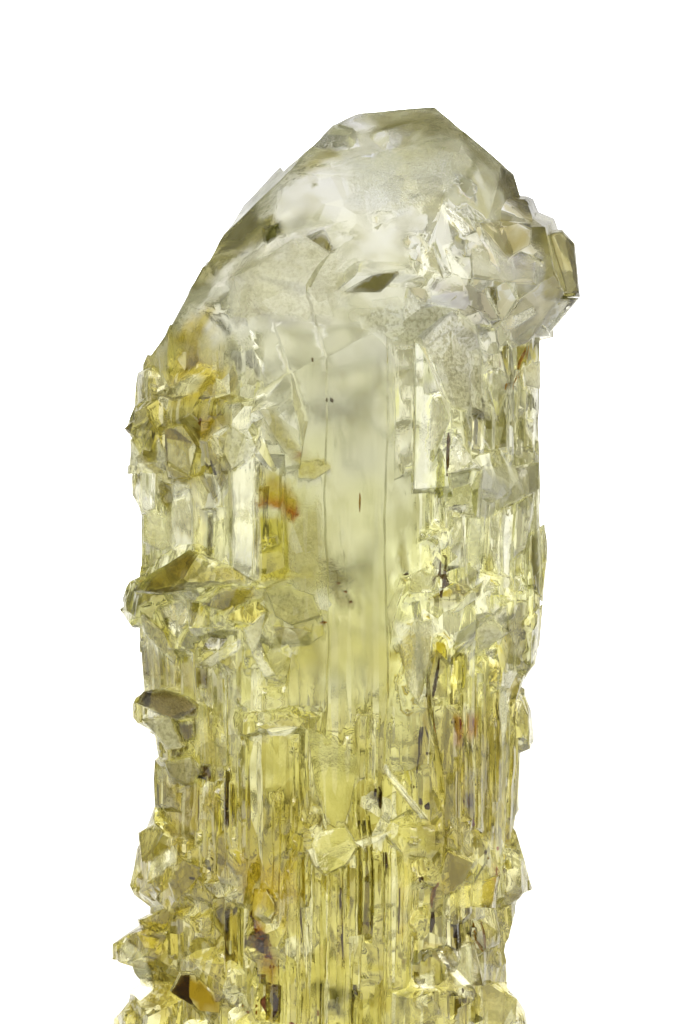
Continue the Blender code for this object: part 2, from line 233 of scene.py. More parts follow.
# Etch faces that show from the front: the look, how soft its edge is, how far the face stands
# proud, the bearing and tilt that it faces, how frosted it is, and its corners across and up
# The white faces are painted highlights, and the dark olive faces cut in near the tip are painted shade
FACETS = [
    ("grey chip", "dark olive", 0.08, -0.35, -50, 55, 0, [(-1.9, 52), (-1, 52.4), (-0.1, 51.3), (-0.4, 51),
     (-1.1, 51.5)]),
    ("dark rim chip", "deep olive", 0.08, -0.35, -60, 20, 0, [(-4.4, 52.5), (-3.3, 53), (-3.6, 52.1),
     (-4.3, 51.6)]),
    ("olive triangle", "dark olive", 0.08, -0.5, 10, -45, 0.1, [(0.5, 48.7), (2.2, 49.8), (3.7, 50),
     (3.2, 49.4), (2.5, 48.7)]),
    ("bright strip", "white", 0.08, 0.3, -25, 5, 0.1, [(5.9, 54), (6.4, 53.9), (8, 52.5), (7.4, 52.1),
     (6.4, 52.9)]),
    ("white fan, left", "white", 0.1, 0.35, -15, -5, 0.1, [(5, 51.3), (5.5, 51.5), (6.1, 49.6),
     (4.7, 49.7)]),
    ("white fan, right", "white", 0.1, 0.35, 25, 0, 0.1, [(6.2, 51.4), (6.5, 51.2), (7.8, 49.6),
     (6.7, 49.7)]),
    ("blue-grey facet", "cool grey", 0.1, 0.35, 12, -30, 0, [(5.2, 49.3), (7.8, 49.2), (8.7, 48.7),
     (9.5, 47.3), (8.4, 46.7), (7.1, 47.6)]),
    ("big pale facet", "pearl", 0.1, 0.25, 25, 30, 0.1, [(7.8, 51.9), (8.9, 51.9), (10.1, 50.9),
     (11.8, 50.7), (11.6, 49.4), (9.8, 49.4), (9.4, 49.8), (7.9, 49.7)]),
    ("olive cleft", "sage", 0.12, -0.35, 40, 10, 0, [(8.4, 52.9), (10.1, 53.3), (11.3, 52.6),
     (11.3, 51.7), (10.1, 50.9), (9.1, 51.8)]),
    ("dark wedge chip", "dark grey", 0.06, -0.5, 30, -40, 0, [(8.8, 49.1), (9.4, 49.1), (9.5, 47.8)]),
    ("white curl chip", "white", 0.08, 0.4, 5, 10, 0.2, [(11.1, 51.1), (11.7, 51), (12.4, 50.2),
     (11.6, 50.5)]),
    ("overhang side", "honey", 0.15, 0.1, 45, 5, 0, [(12.2, 52.3), (13.3, 52.4), (14, 51.6),
     (14.3, 48.8), (13.3, 48.7), (12.2, 48.7)]),
    ("overhang under", "mist", 0.15, 0.2, 40, -35, 0, [(11.8, 48.5), (13.4, 48.2), (14.2, 48.4),
     (12.7, 46.6), (11.8, 47.2)]),
    ("overhang glint", "white", 0.06, 0.3, 10, -8, 0.1, [(13.3, 48.2), (13.7, 48.4), (13.6, 47.5),
     (13.2, 47.3)]),
    ("white arc", "white", 0.06, 0.3, -10, -30, 0.2, [(9.6, 47), (11.6, 48), (11.7, 47.5), (10, 46.4)]),
    ("frosted wedge, top", "clear", 0.2, 0.3, 0, 30, 1, [(1.1, 47.2), (2.5, 47.8), (5, 48.1), (6.8, 47.6),
     (6.7, 46.7), (5, 45.5), (3.1, 45.8)]),
    ("frosted wedge, leg", "pearl", 0.2, -0.3, 20, -8, 1, [(5, 45.8), (6.8, 47.5), (8.2, 46.5),
     (8.5, 44.7), (9, 41.4), (6.7, 42), (6.2, 43.3)]),
    ("left slat", "lemon", 0.1, 0.35, -8, 0, 0, [(3.3, 45.6), (4.4, 45.7), (4.5, 38.3), (3.4, 37.7)]),
    ("bright slat", "bright", 0.08, 0.55, 22, 0, 0, [(4.5, 45.6), (5.2, 45.4), (6.6, 42.2), (6.7, 37.3),
     (4.6, 37.1)]),
    ("grey band", "lemon", 0.15, -0.2, 45, 0, 0, [(8.4, 46.4), (9.4, 46.5), (10.1, 43.4), (9.4, 41.4),
     (8.9, 43)]),
    ("frosty pane", "pearl", 0.15, 0.25, 60, 15, 0.8, [(11, 44.6), (12.2, 44.7), (12.2, 43.2),
     (11.1, 43.3)]),
    ("bright prisms", "white2", 0.1, 0.35, -20, 0, 0.1, [(5, 42.4), (6.5, 42.4), (6.5, 41), (5.5, 39.5),
     (5.2, 37.1), (4.5, 37.1)]),
    ("white tooth", "white", 0.08, 0.5, -25, 20, 0.1, [(6.6, 40.7), (7.6, 39.2), (8.4, 38.4), (6.6, 38)]),
    ("striped tooth", "slate", 0.08, 0.4, 30, 10, 0, [(7.7, 41.2), (8.6, 41.2), (8.4, 39.4), (8, 39.2)]),
    ("white drop", "white", 0.06, 0.35, 5, 5, 0.1, [(10.7, 40.3), (11.1, 40), (11, 39), (10.6, 39.2)]),
    ("grey plate, left", "mist", 0.08, 0.2, 12, 20, 0.1, [(5.8, 37.9), (8.4, 38.3), (8.3, 35.5),
     (7.6, 35.6), (6.5, 36.1), (6.1, 36.9)]),
    ("grey plate, right", "cool", 0.08, 0.2, 42, 12, 0.1, [(8.4, 38.3), (11.8, 38.6), (11.8, 37.2),
     (10.6, 36.5), (8.9, 35.5), (8.3, 35.5)]),
    ("plate edge", "white", 0.05, 0.7, 0, -20, 0.1, [(6.5, 36), (7.7, 36.2), (7.7, 35.9), (6.7, 35.8)]),
    ("slat, pale", "white2", 0.08, 0.5, 10, 0, 0, [(6.8, 35.8), (7.5, 35.6), (7.6, 32.6), (6.6, 32.3)]),
    ("slat, speckled", "mist", 0.12, 0.25, 40, 0, 0.5, [(7.8, 35.5), (8.5, 35.3), (8.4, 32.7),
     (7.7, 32.8)]),
    ("slat, white", "white2", 0.08, 0.55, -10, 0, 0, [(8.9, 35.2), (9.7, 35.9), (9.7, 32.3),
     (9.5, 31.7)]),
    ("slat, white, right", "white2", 0.08, 0.45, 15, 0, 0, [(9.8, 35.9), (10.4, 36.2), (10.4, 33.8),
     (10.2, 30.5), (9.8, 31.4)]),
    ("slat, grey", "cool", 0.1, 0.3, 55, 0, 0, [(10.6, 36.2), (11.8, 37), (11.3, 33.4), (10.6, 33)]),
    ("yellow edge", "dark grey", 0.2, 0.35, 75, 5, 0, [(11.6, 34.3), (12.4, 34.8), (12.5, 33.1),
     (12.3, 30.6), (11.7, 31.1), (11.5, 32.8)]),
    ("scale", "mist", 0.08, 0.5, -20, 25, 0.2, [(4.3, 32.1), (5, 32.4), (6, 31.9), (5.8, 31.1),
     (4.3, 31)]),
    ("grey-green scoop", "cool grey", 0.12, -0.35, 15, 30, 0, [(8.2, 32.4), (8.3, 32.1), (7.3, 30.5),
     (6.5, 30), (5.1, 30.5), (6.3, 31.1), (7.6, 32)]),
    ("olive sliver", "lemon", 0.08, 0.3, 30, -20, 0, [(8.5, 31.6), (8.3, 30.8), (7.1, 29.9),
     (6.7, 29.8), (7.7, 31)]),
    ("white scales", "white", 0.08, 0.55, 0, 5, 0.2, [(8.5, 30), (10, 30.2), (10, 28.7), (9.4, 29.3)]),
    ("olive kite", "drab", 0.08, -0.4, 35, -20, 0, [(6.9, 28.6), (8.3, 29.5), (8.2, 28.4),
     (6.8, 27.7)]),
    ("frosty scales", "white2", 0.12, 0.4, 5, 5, 0.9, [(8.3, 29.4), (9.4, 28.9), (9.8, 28.6),
     (8.9, 27.6), (8.3, 27.6)]),
    ("white triangle", "white", 0.06, 0.5, 0, 8, 0.1, [(8.8, 27.3), (9.4, 27.7), (9.2, 26.9)]),
    ("pale tongue", "white2", 0.15, 0.5, -5, 3, 0.2, [(3.3, 29.2), (5.6, 29.4), (5.6, 28.3), (5.2, 26.3),
     (4.8, 24.6), (4.1, 25.5), (3.8, 27)]),
    ("brown groove", "cool grey", 0.12, -0.5, 30, 5, 0.1, [(5.8, 27.5), (6.5, 26.8), (5.9, 26), (6.5, 24.8),
     (5.2, 25), (5.5, 26.4)]),
    ("grey sweep", "cool grey", 0.25, 0.2, 50, -15, 0, [(9.9, 28.9), (10.6, 30.3), (11.3, 30.3),
     (11.3, 26.5), (9.5, 26.6)]),
    ("pink bulge", "clear", 0.2, 0.2, 80, 0, 0, [(11.6, 29.5), (12.3, 30), (12.2, 27.8),
     (11.6, 26.6)]),
    ("white fin", "white", 0.08, 0.5, 10, 10, 0.1, [(9.9, 26.2), (10.5, 26.3), (11.2, 25.9),
     (10.4, 25.3), (9.8, 21.8), (9.6, 24.5)]),
    ("left edge facet", "honey", 0.1, 0.5, -65, 15, 0, [(-12.7, 40.7), (-11.6, 41.7), (-10.9, 40.6),
     (-11.2, 39.4), (-11.9, 39.6)]),
    ("left white sliver", "white", 0.06, 0.8, 0, 0, 0.1, [(-10.7, 40.2), (-10.3, 39.2), (-10.3, 38.2),
     (-10.8, 38.5)]),
    ("left brown facet", "moss", 0.08, 0.2, -50, -10, 0, [(-11.3, 41.8), (-10.7, 40.5), (-10.9, 39.1),
     (-11.3, 40.2)]),
    ("left main facet", "smoke", 0.1, 0.5, -20, -15, 0, [(-10.2, 39.2), (-10.2, 40.7), (-9.1, 40.9),
     (-8.3, 39.6), (-8.8, 37.8), (-10.1, 37.9)]),
    ("brown eye", "rust", 0.15, -0.3, -20, 20, 0, [(-8.3, 41.3), (-7.7, 41.6), (-7.3, 41.2),
     (-7.6, 40.6), (-8.2, 40.2), (-8.4, 40.4)]),
    ("left white chip", "white", 0.06, 0.7, -5, 5, 0.1, [(-7.3, 40.3), (-6.5, 40.9), (-6.4, 40.8),
     (-6.9, 40.2)]),
    ("left low facet", "moss", 0.08, 0.4, -20, -40, 0, [(-10.3, 38.6), (-8.6, 37.8), (-8.8, 37.6),
     (-9.8, 37.7)]),
    ("left grey facet", "tan", 0.12, 0.3, -30, 35, 0, [(-10.9, 42.8), (-9.7, 43.4), (-8.8, 43.9),
     (-7.9, 43.7), (-8.5, 42.9), (-9.7, 42.4)]),
    ("left hackle A", "moss", 0.1, 0.45, -40, 0, 0, [(-8.1, 40), (-7.6, 40), (-7.2, 38.8),
     (-7.7, 38.3)]),
    ("left hackle B", "moss", 0.1, 0.4, 10, -10, 0, [(-7.6, 39.8), (-6.8, 38.6), (-6.4, 37.9), (-7, 37),
     (-7.4, 38.3)]),
    ("left hackle C", "moss", 0.1, 0.35, -20, -20, 0, [(-7.9, 38), (-7.4, 37.9), (-7, 36.2),
     (-7.4, 36.1)]),
    ("dimple field", "lemon", 0.2, 0.2, -15, 20, 0.8, [(-6.5, 40.9), (-5, 39.8), (-5.2, 39.1),
     (-6.2, 38.2), (-6.7, 39.2)]),
    ("pale sliver", "peach", 0.08, 0.35, -30, 10, 0, [(-5, 40.7), (-4.5, 40.2), (-3.7, 38.5),
     (-3.9, 38.3), (-4.9, 39.6)]),
    ("tan fibre", "honey", 0.2, 0.2, 20, 0, 0.6, [(-4, 41.8), (-2.8, 40.4), (-2.3, 39.6), (-2.9, 39.1),
     (-3.8, 40.2), (-4.7, 41.8)]),
    ("pale scales", "honey", 0.12, 0.25, 0, 20, 0.4, [(-2.5, 38.8), (-1.1, 38.9), (-0.4, 38.3),
     (-1.3, 37.7), (-2.3, 37.8)]),
    ("slat, cream", "white2", 0.08, 0.45, -40, 0, 0, [(-9.8, 37.4), (-8.8, 37.4), (-8.8, 33.5),
     (-9.9, 33.5)]),
    ("slat, straw", "cream", 0.1, 0.2, -45, 0, 0, [(-8.6, 37.4), (-7.9, 36.5), (-7.9, 32.8),
     (-8.6, 33.4)]),
    ("slat, straw, right", "pearl", 0.1, 0.35, -40, 0, 0, [(-7.3, 36), (-6.5, 36), (-6.5, 32.6),
     (-7.4, 32.6)]),
    ("slat, ivory", "white2", 0.08, 0.7, -38, 0, 0, [(-6.2, 38), (-4.9, 39.1), (-4.9, 31.7),
     (-6.2, 32.5)]),
    ("edge slats", "white2", 0.1, 0.45, -75, 0, 0, [(-12.3, 39.6), (-11.6, 38.8), (-10.9, 38),
     (-10.9, 36), (-11.8, 35.8), (-12.3, 37.2)]),
    ("dark nook", "moss", 0.1, -0.3, -30, -30, 0, [(-10.7, 37.6), (-9.8, 37.3), (-10, 35.7),
     (-10.6, 36.4)]),
    ("lavender patch", "slate", 0.15, 0.2, -40, 10, 0.5, [(-11.6, 35.5), (-11.1, 36.1), (-10.1, 35.3),
     (-10, 33.7), (-10.6, 33.5), (-11.6, 34)]),
    ("roof", "buff", 0.1, 1, -30, 48, 0, [(-11.5, 31.2), (-10.7, 32.1), (-8.9, 33.3), (-7.7, 32.5),
     (-6.2, 32.5), (-4.9, 31.7), (-6.2, 31.6), (-7.7, 31.6), (-9.1, 31.3), (-10.3, 31)]),
    ("roof tip", "drab", 0.1, 0.5, -70, 10, 0, [(-12.6, 30.5), (-12.1, 31.7), (-11.6, 31),
     (-11.9, 29.6), (-12.5, 29.9)]),
    ("tip sparkle", "white", 0.05, 0.9, -8, 8, 0.2, [(-11.9, 31), (-11.5, 31.1), (-11.8, 30.7)]),
    ("white plate", "white", 0.06, 1.3, 0, 0, 0.1, [(-10.4, 30.1), (-9.3, 30.5), (-8.8, 29.9),
     (-9.4, 28.3), (-9.9, 28.9)]),
    ("green plate", "peach", 0.08, 0.9, 20, -5, 0, [(-8.8, 30.5), (-8, 30.4), (-7.3, 29.3), (-7.9, 29),
     (-8.7, 29)]),
    ("olive plate", "amber", 0.08, 1, -5, -35, 0, [(-7.9, 30.3), (-6.8, 31.3), (-4.9, 31.4),
     (-4.8, 30.8), (-6.4, 29.9)]),
    ("bright yellow plate", "cream", 0.1, 1.1, 20, 20, 0, [(-6.3, 29.8), (-4.8, 30.5), (-4.2, 29.9),
     (-5, 29.1), (-6.4, 29.3)]),
    ("olive leg", "tan", 0.12, 0.5, -45, -15, 0, [(-11.6, 29.9), (-10.2, 28.7), (-9.5, 27.3),
     (-9.7, 26.9), (-11.3, 28.6)]),
    ("grey kite", "milky", 0.08, 0.8, 0, -35, 0, [(-8.8, 28.8), (-7.7, 28.7), (-8.5, 27.5), (-9.2, 28)]),
    ("slanted slat", "olive", 0.06, 0.6, -15, 15, 0, [(-7.5, 28.7), (-6.4, 28.4), (-7, 27.6),
     (-7.9, 27.7)]),
    ("under edge", "white", 0.06, 0.6, -10, -8, 0.2, [(-8, 26.9), (-7, 27.6), (-5.7, 28.3),
     (-5.7, 27.8), (-7.3, 26.7)]),
    ("curl", "white2", 0.08, 0.5, 5, 0, 0.6, [(-5.5, 28.9), (-4.3, 29.8), (-4.6, 28.3), (-5, 27.4)]),
    ("curl tail", "white", 0.06, 0.5, 0, 0, 0.5, [(-5, 27.4), (-4.6, 28.1), (-4.4, 27.1), (-3.7, 26.2),
     (-4.3, 26.1)]),
    ("frosty fan", "milky", 0.15, 0.4, 5, 15, 0.9, [(-4.2, 31), (-3.4, 31.4), (-1.6, 30.8), (-1.2, 29.7),
     (-2.8, 29.1), (-3.7, 29.6)]),
    ("fan shadow", "honey", 0.15, 0.2, 10, -25, 0.2, [(-3.8, 29), (-2.3, 28.9), (-1.7, 28.7),
     (-2.5, 28.1), (-3.4, 28)]),
    ("green column", "brown", 0.1, -0.25, -40, 0, 0, [(-8.4, 26.6), (-7.6, 26.5), (-7.7, 25.3),
     (-8.4, 25.4)]),
    ("knob top", "umber", 0.12, 0.7, -50, 30, 0.2, [(-11.8, 24.4), (-11.4, 25), (-10.4, 25.2),
     (-9, 24.8), (-8.3, 24.3), (-8.4, 23.7), (-9.6, 23.4), (-10.6, 23.7)]),
    ("knob frosty side", "white2", 0.1, 0.7, -22, 0, 1, [(-11.6, 23.3), (-10, 23.6), (-9.6, 22.6),
     (-9.2, 21.8), (-10.1, 21.7), (-10.9, 22.6)]),
    ("knob olive side", "brown", 0.12, 0.6, 10, -5, 0, [(-9.5, 23.2), (-8.4, 23.3), (-8.5, 22.2),
     (-9.1, 22), (-9.5, 22.6)]),
    ("knob purple side", "cool grey", 0.1, 0.5, -20, -15, 1, [(-10.3, 20.8), (-8.8, 21.2), (-8.2, 20.5),
     (-8.8, 19.6), (-10, 20)]),
    ("knob dark side", "dark brown", 0.08, 0.2, 20, -30, 0, [(-8.1, 20.9), (-7.6, 20.8), (-7.4, 19.8),
     (-8.4, 20)]),
    ("slab", "cool grey", 0.15, 0.3, 5, 20, 0, [(-4.6, 23.2), (-3.2, 23.8), (-2, 23.5), (-2.3, 23.1),
     (-3.8, 22.8)]),
    ("slab edge", "white", 0.05, 0.5, 0, -8, 0.3, [(-4.2, 23.1), (-2.4, 23.2), (-2.9, 22.7),
     (-4, 22.7)]),
    ("low bulge", "cool grey", 0.1, 0.3, -65, 15, 0, [(-11.9, 16.5), (-10.9, 17.1), (-10.4, 16.6),
     (-11, 15.6), (-11.8, 14.9)]),
    ("low white bars", "white", 0.08, 0.5, -12, 8, 0.1, [(-11.2, 14.8), (-10.1, 15.7), (-9.7, 15.3),
     (-10.4, 14.3), (-11.4, 13.7)]),
    ("low dark facet", "moss", 0.1, 0.3, -10, -15, 0, [(-10, 13.8), (-9.2, 15.2), (-7.9, 14.6),
     (-8.7, 13.6), (-9.6, 12.7)]),
    ("dark oval", "brown", 0.12, -0.4, 0, -10, 0, [(-7.3, 12.8), (-6.7, 12.9), (-6.7, 10.7),
     (-7.3, 11.4)]),
    ("olive ribbon", "moss", 0.12, 0.5, -25, 30, 0, [(-11.8, 11.3), (-10.6, 11.5), (-8.3, 12.9),
     (-8.5, 12.4), (-10.1, 11.2), (-11.4, 10.3)]),
    ("dark underside", "honey", 0.08, 0.3, -20, -40, 0, [(-11.4, 10.5), (-10, 10.8), (-10.4, 10),
     (-11.2, 9.9)]),
    ("low tip, white", "white2", 0.1, 0.6, -25, 5, 0.1, [(-13.1, 9.4), (-12.6, 10.2),
     (-11.9, 9.7), (-11.2, 8.5), (-11, 7.3), (-11.8, 6.6), (-12.6, 7.3)]),
    ("low tip, upper", "amber", 0.08, 0.5, -10, 12, 0.1, [(-12, 10.7), (-11.3, 10.9),
     (-10.3, 10.4), (-10.8, 9.7), (-11.5, 9.8)]),
    ("low yellow facet", "rust", 0.1, 1.0, -10, 8, 0, [(-9.8, 7.4), (-9.2, 8.4), (-8.4, 8.4),
     (-7, 7.1), (-7, 6.2), (-8.1, 6.3)]),
    ("V tongue", "clear", 0.2, 0.35, 0, 6, 0.1, [(-1.7, 23.1), (1.4, 21.4), (0.8, 18.5), (0.3, 17.1),
     (-0.7, 17.6), (-1.2, 19.5)]),
    ("lobe, left", "clear", 0.1, 0.7, -10, 10, 0.1, [(-1.6, 16.3), (-1, 17), (0.5, 17.3), (0.8, 16.6),
     (1.1, 16.1), (0.5, 15.2), (-0.7, 14.6), (-1.2, 15.1)]),
    ("lobe, right", "white2", 0.1, 0.6, 5, 0, 0.1, [(1, 16.4), (1.9, 16.7), (3.2, 17.1), (2.6, 16.6),
     (1.5, 16.1)]),
    ("lobe chip", "white", 0.05, 0.8, -40, 10, 0.3, [(-1.8, 15.9), (-1.4, 16.1), (-1.1, 14.9),
     (-1.4, 15.1)]),
    ("diagonal blade", "white", 0.06, 0.6, -30, 35, 0.1, [(2.5, 20.9), (2.8, 20.9), (5.2, 17.8),
     (4.9, 17.8)]),
    ("yellow lens", "amber", 0.15, 0.3, 10, -10, 0, [(6.5, 15.8), (8, 15.2), (7.2, 13.6), (6, 13.1),
     (5.9, 13.9)]),
    ("pale scarf", "slate", 0.12, 0.45, 15, 20, 0.2, [(6.2, 12.8), (7, 13.5), (9.4, 14.2),
     (9.1, 12.4), (7.2, 12.5)]),
    ("glinting lump", "white2", 0.12, 0.6, -15, 5, 0.1, [(6.5, 9.8), (8, 10.3), (8.4, 7.9), (7, 8)]),
    ("white foot chip", "white", 0.06, 0.5, 0, 30, 0.1, [(7.1, 7.8), (8, 7.5), (8, 7.3), (7.4, 7.3)]),
    ("pale foot facet", "white2", 0.1, 0.4, -10, -10, 0.2, [(4.5, 8.4), (5.6, 8.6), (5.6, 7.8), (5, 7.8)]),
]

# What the acid took right through: the outline of each piece that is gone, across and up
TRIMS = [
    ("crest", [(0.4, 59.3), (-0.2, 59), (-0.6, 58.6), (-1.3, 57.9), (-1.8, 57.5), (-2.5, 56.9),
     (-3.2, 56.3), (-3.6, 56.9), (-2.9, 60), (0.4, 60.4)]),
    ("left of the tip", [(-7.9, 51), (-8.2, 50.3), (-8.6, 49.6), (-8.9, 49.1), (-9.2, 48.5),
     (-9.7, 47.8), (-10, 47), (-10.3, 46.3), (-10.8, 45.6), (-11.2, 45.1), (-11.9, 45.2),
     (-11.9, 48.5), (-9.5, 51.7)]),
    ("left cluster", [(-12.5, 40.4), (-12.5, 39.5), (-12.5, 38.6), (-13, 38.4), (-13.7, 38.8),
     (-13.7, 40.3), (-13, 40.7)]),
    ("left ledge", [(-11.8, 32.6), (-11.8, 31.9), (-12.4, 31.6), (-12.6, 31.2), (-12.8, 30.5),
     (-12.7, 30.1), (-13.3, 29.6), (-13.8, 30.5), (-13.8, 32.3), (-12.5, 32.9)]),
    ("under the knob", [(-11, 22.4), (-10.8, 21.5), (-10.7, 21.1), (-11.2, 20.6), (-12.1, 21),
     (-12.1, 22.3), (-11.5, 22.6)]),
    ("right foot", [(11, 13), (10.7, 12.5), (10.6, 11.8), (10.3, 11), (10.1, 10.3), (9.9, 10),
     (9.8, 9.5), (9.9, 8.9), (10, 7.4), (10.1, 7.1), (10.6, 6.7), (10.9, 6.3), (12.1, 6.3),
     (12.1, 13.2)]),
    ("left foot", [(-13.2, 8.9), (-12.2, 8.6), (-12.1, 8.2), (-11.8, 7.8), (-11.8, 7.4),
     (-12.3, 7.1), (-12.4, 6.4), (-12.7, 6), (-13.3, 5.3), (-14.3, 5), (-14.4, 8.8)]),
]


def on_a_face(x, z, side):
    return side == FRONT and any(inside(x, z, row[-1]) for row in FACETS)


# Zones of hackly etching: across, up, side, half width, half height, number of steps, smallest
# and largest step
HACKLE_ZONES = [
    ("upper left", -8.0, 40.8, FRONT, 4.6, 3.8, 14, 0.8, 2.4),
    ("mid left ledge", -7.0, 29.8, FRONT, 5.6, 3.2, 14, 0.8, 2.4),
    ("lower left knob", -9.2, 22.0, FRONT, 3.0, 2.8, 8, 0.7, 2.0),
    ("low left", -8.0, 9.0, FRONT, 5.0, 8.0, 40, 0.8, 3.2),
    ("low middle shelf", 0.6, 17.0, FRONT, 4.0, 3.0, 8, 0.8, 2.0),
    ("right of the tip", 10.0, 49.0, FRONT, 2.8, 3.4, 5, 0.8, 1.8),
    ("right plate", 8.6, 39.4, FRONT, 3.6, 4.0, 8, 0.7, 2.0),
    ("right middle", 7.6, 30.0, FRONT, 4.4, 4.6, 24, 0.7, 2.4),
    ("right low", 8.4, 11.0, FRONT, 4.0, 7.4, 34, 0.7, 3.0),
    ("foot", 0.0, 2.0, FRONT, 9.0, 2.4, 20, 0.8, 2.6),
    ("tip", 3.0, 54.0, FRONT, 5.0, 3.4, 4, 0.8, 2.0),
    ("back of the tip", 1.0, 48.0, BACK, 7.0, 4.0, 8, 1.2, 3.0),
    ("back, upper left", -8.0, 39.0, BACK, 3.6, 5.0, 20, 0.8, 3.2),
    ("back, upper right", 8.0, 39.0, BACK, 3.6, 5.0, 20, 0.8, 3.2),
    ("back, middle left", -8.0, 27.0, BACK, 3.6, 5.0, 20, 0.8, 3.2),
    ("back, middle right", 8.0, 27.0, BACK, 3.6, 5.0, 20, 0.8, 3.2),
    ("back, low", 0.0, 10.0, BACK, 11.0, 8.0, 50, 0.8, 3.4),
]

# Growth lines: the prism face (0 front, counting to the right), across from, across to, up from,
# up to, number, thinnest, thickest
GROWTH_LINES = [
    (0, -5.2, 3.6, 2.0, 24.0, 46, 0.10, 0.42),
    (1, -5.2, 5.2, 1.0, 30.0, 40, 0.12, 0.6),
    (1, -5.2, 5.2, 26.0, 46.0, 24, 0.12, 0.6),
    (5, -5.2, 5.2, 1.0, 24.0, 36, 0.12, 0.6),
    (5, -5.2, 5.2, 24.0, 40.0, 30, 0.12, 0.5),
    (2, -5.2, 5.2, 1.0, 46.0, 30, 0.3, 1.4),
    (3, -5.2, 5.2, 1.0, 46.0, 16, 0.4, 1.8),
    (4, -5.2, 5.2, 1.0, 44.0, 30, 0.3, 1.4),
]
LINE_REACH = PRISM_APOTHEM + 1.0
RUN_OUT = 0.7
SMOOTH_TIP = 44.0


def fuse(solid, name, operation, helpers):
    """Joins every helper shape to the solid, or cuts it away, and keeps the result as its mesh."""
    modifier = solid.modifiers.new(name, "BOOLEAN")
    modifier.operation = operation
    modifier.solver = "MANIFOLD"
    modifier.operand_type = "COLLECTION"
    modifier.collection = helpers
    bpy.context.view_layer.update()
    graph = bpy.context.evaluated_depsgraph_get()
    result = bpy.data.meshes.new_from_object(solid.evaluated_get(graph))
    solid.modifiers.remove(modifier)
    solid.data = result
    for helper in list(helpers.objects):
        bpy.data.objects.remove(helper, do_unlink=True)
    bpy.data.collections.remove(helpers)


def helper_collection(name):
    made = bpy.data.collections.new(name)
    bpy.context.scene.collection.children.link(made)
    return made


rng = random.Random(11)
growths = helper_collection("growths")
for face, left, right, low, high, number, thin, thick in GROWTH_LINES:
    bearing = LATTICE_TURN + 60 * face
    for _ in range(number):
        length = rng.uniform(2.5, 14.0)
        middle = rng.uniform(low + length / 2, max(high - length / 2, low + length / 2 + 0.1))
        place = facing(bearing) * PRISM_APOTHEM + facing(bearing + 90) * rng.uniform(left, right)
        start = place + facing(bearing) * 8
        hit, normal, _, _ = surface.ray_cast(start + Vector((0, 0, middle)), -facing(bearing))
        if hit is None or normal.dot(facing(bearing)) < 0.8 or hit.dot(facing(bearing)) > LINE_REACH:
            continue
        ends = [
            surface.ray_cast(start + Vector((0, 0, middle + share * length)), -facing(bearing))[0]
            for share in (-0.48, 0.48)
        ]
        if any(end is None or abs((end - hit).dot(facing(bearing))) > RUN_OUT for end in ends):
            continue
        width = rng.uniform(thin, thick)
        shape = growth_line(
            rng, hit, bearing, width, middle - length / 2, middle + length / 2,
            rng.uniform(0.04, 0.22),
        )
        new_piece("growth line", shape, growths)
for _, x, z, side, half_width, half_height, number, smallest, largest in HACKLE_ZONES:
    for _ in range(number):
        turn, reach = rng.uniform(0, 2 * math.pi), math.sqrt(rng.random())
        step_x, step_z = x + half_width * reach * math.cos(turn), z + half_height * reach * math.sin(turn)
        found = seen_point(surface, step_x, step_z, side)
        if found is None or on_a_face(step_x, step_z, side):
            continue
        place, normal = found
        if place.z > SMOOTH_TIP and abs(normal.y) < 0.55:
            continue
        outward = (normal + facing(bearing_of(place))).normalized()
        size = smallest * (largest / smallest) ** rng.random() ** 1.6
        width, height = size * rng.uniform(0.7, 1.3), size * rng.uniform(0.6, 1.5)
        depth = size * rng.uniform(0.6, 1.1)
        centre = place - outward * depth * rng.uniform(0.1, 0.45)
        new_piece("etch step", lattice_step(rng, centre, outward, width, height, depth), growths)
for _, _, _, depth, bearing, tilt, _, outline in FACETS:
    if depth > 0:
        new_piece("raised face", face_block(depth, bearing, tilt, outline), growths)
fuse(crystal, "fine growths", "UNION", growths)

pits = helper_collection("pits")
for _, x, z, side, half_width, half_height, number, smallest, largest in HACKLE_ZONES:
    for _ in range(number // 3):
        turn, reach = rng.uniform(0, 2 * math.pi), math.sqrt(rng.random())
        step_x, step_z = x + half_width * reach * math.cos(turn), z + half_height * reach * math.sin(turn)
        found = seen_point(surface, step_x, step_z, side)
        if found is None or on_a_face(step_x, step_z, side):
            continue
        place, normal = found
        outward = (normal + facing(bearing_of(place))).normalized()
        size = smallest * (largest / smallest) ** rng.random() ** 2
        width, height = size * rng.uniform(0.5, 1.0), size * rng.uniform(0.7, 1.6)
        depth = size * rng.uniform(0.5, 0.9)
        centre = place + outward * depth * rng.uniform(-0.1, 0.25)
        new_piece("etch pit", lattice_step(rng, centre, outward, width, height, depth), pits)
for _, _, _, depth, bearing, tilt, _, outline in FACETS:
    if depth < 0:
        new_piece("cut face", face_block(depth, bearing, tilt, outline), pits)
for _, outline in TRIMS:
    new_piece("piece gone", through_block(outline), pits)
fuse(crystal, "fine pits", "DIFFERENCE", pits)

# Dissolution has bent the long straight edges a little
LONGEST_EDGE = 1.8
LONGEST_EDGE_IN_FRONT = 0.75
BENDS = [(0.16, 0.30), (0.55, 0.08), (1.3, 0.025)]


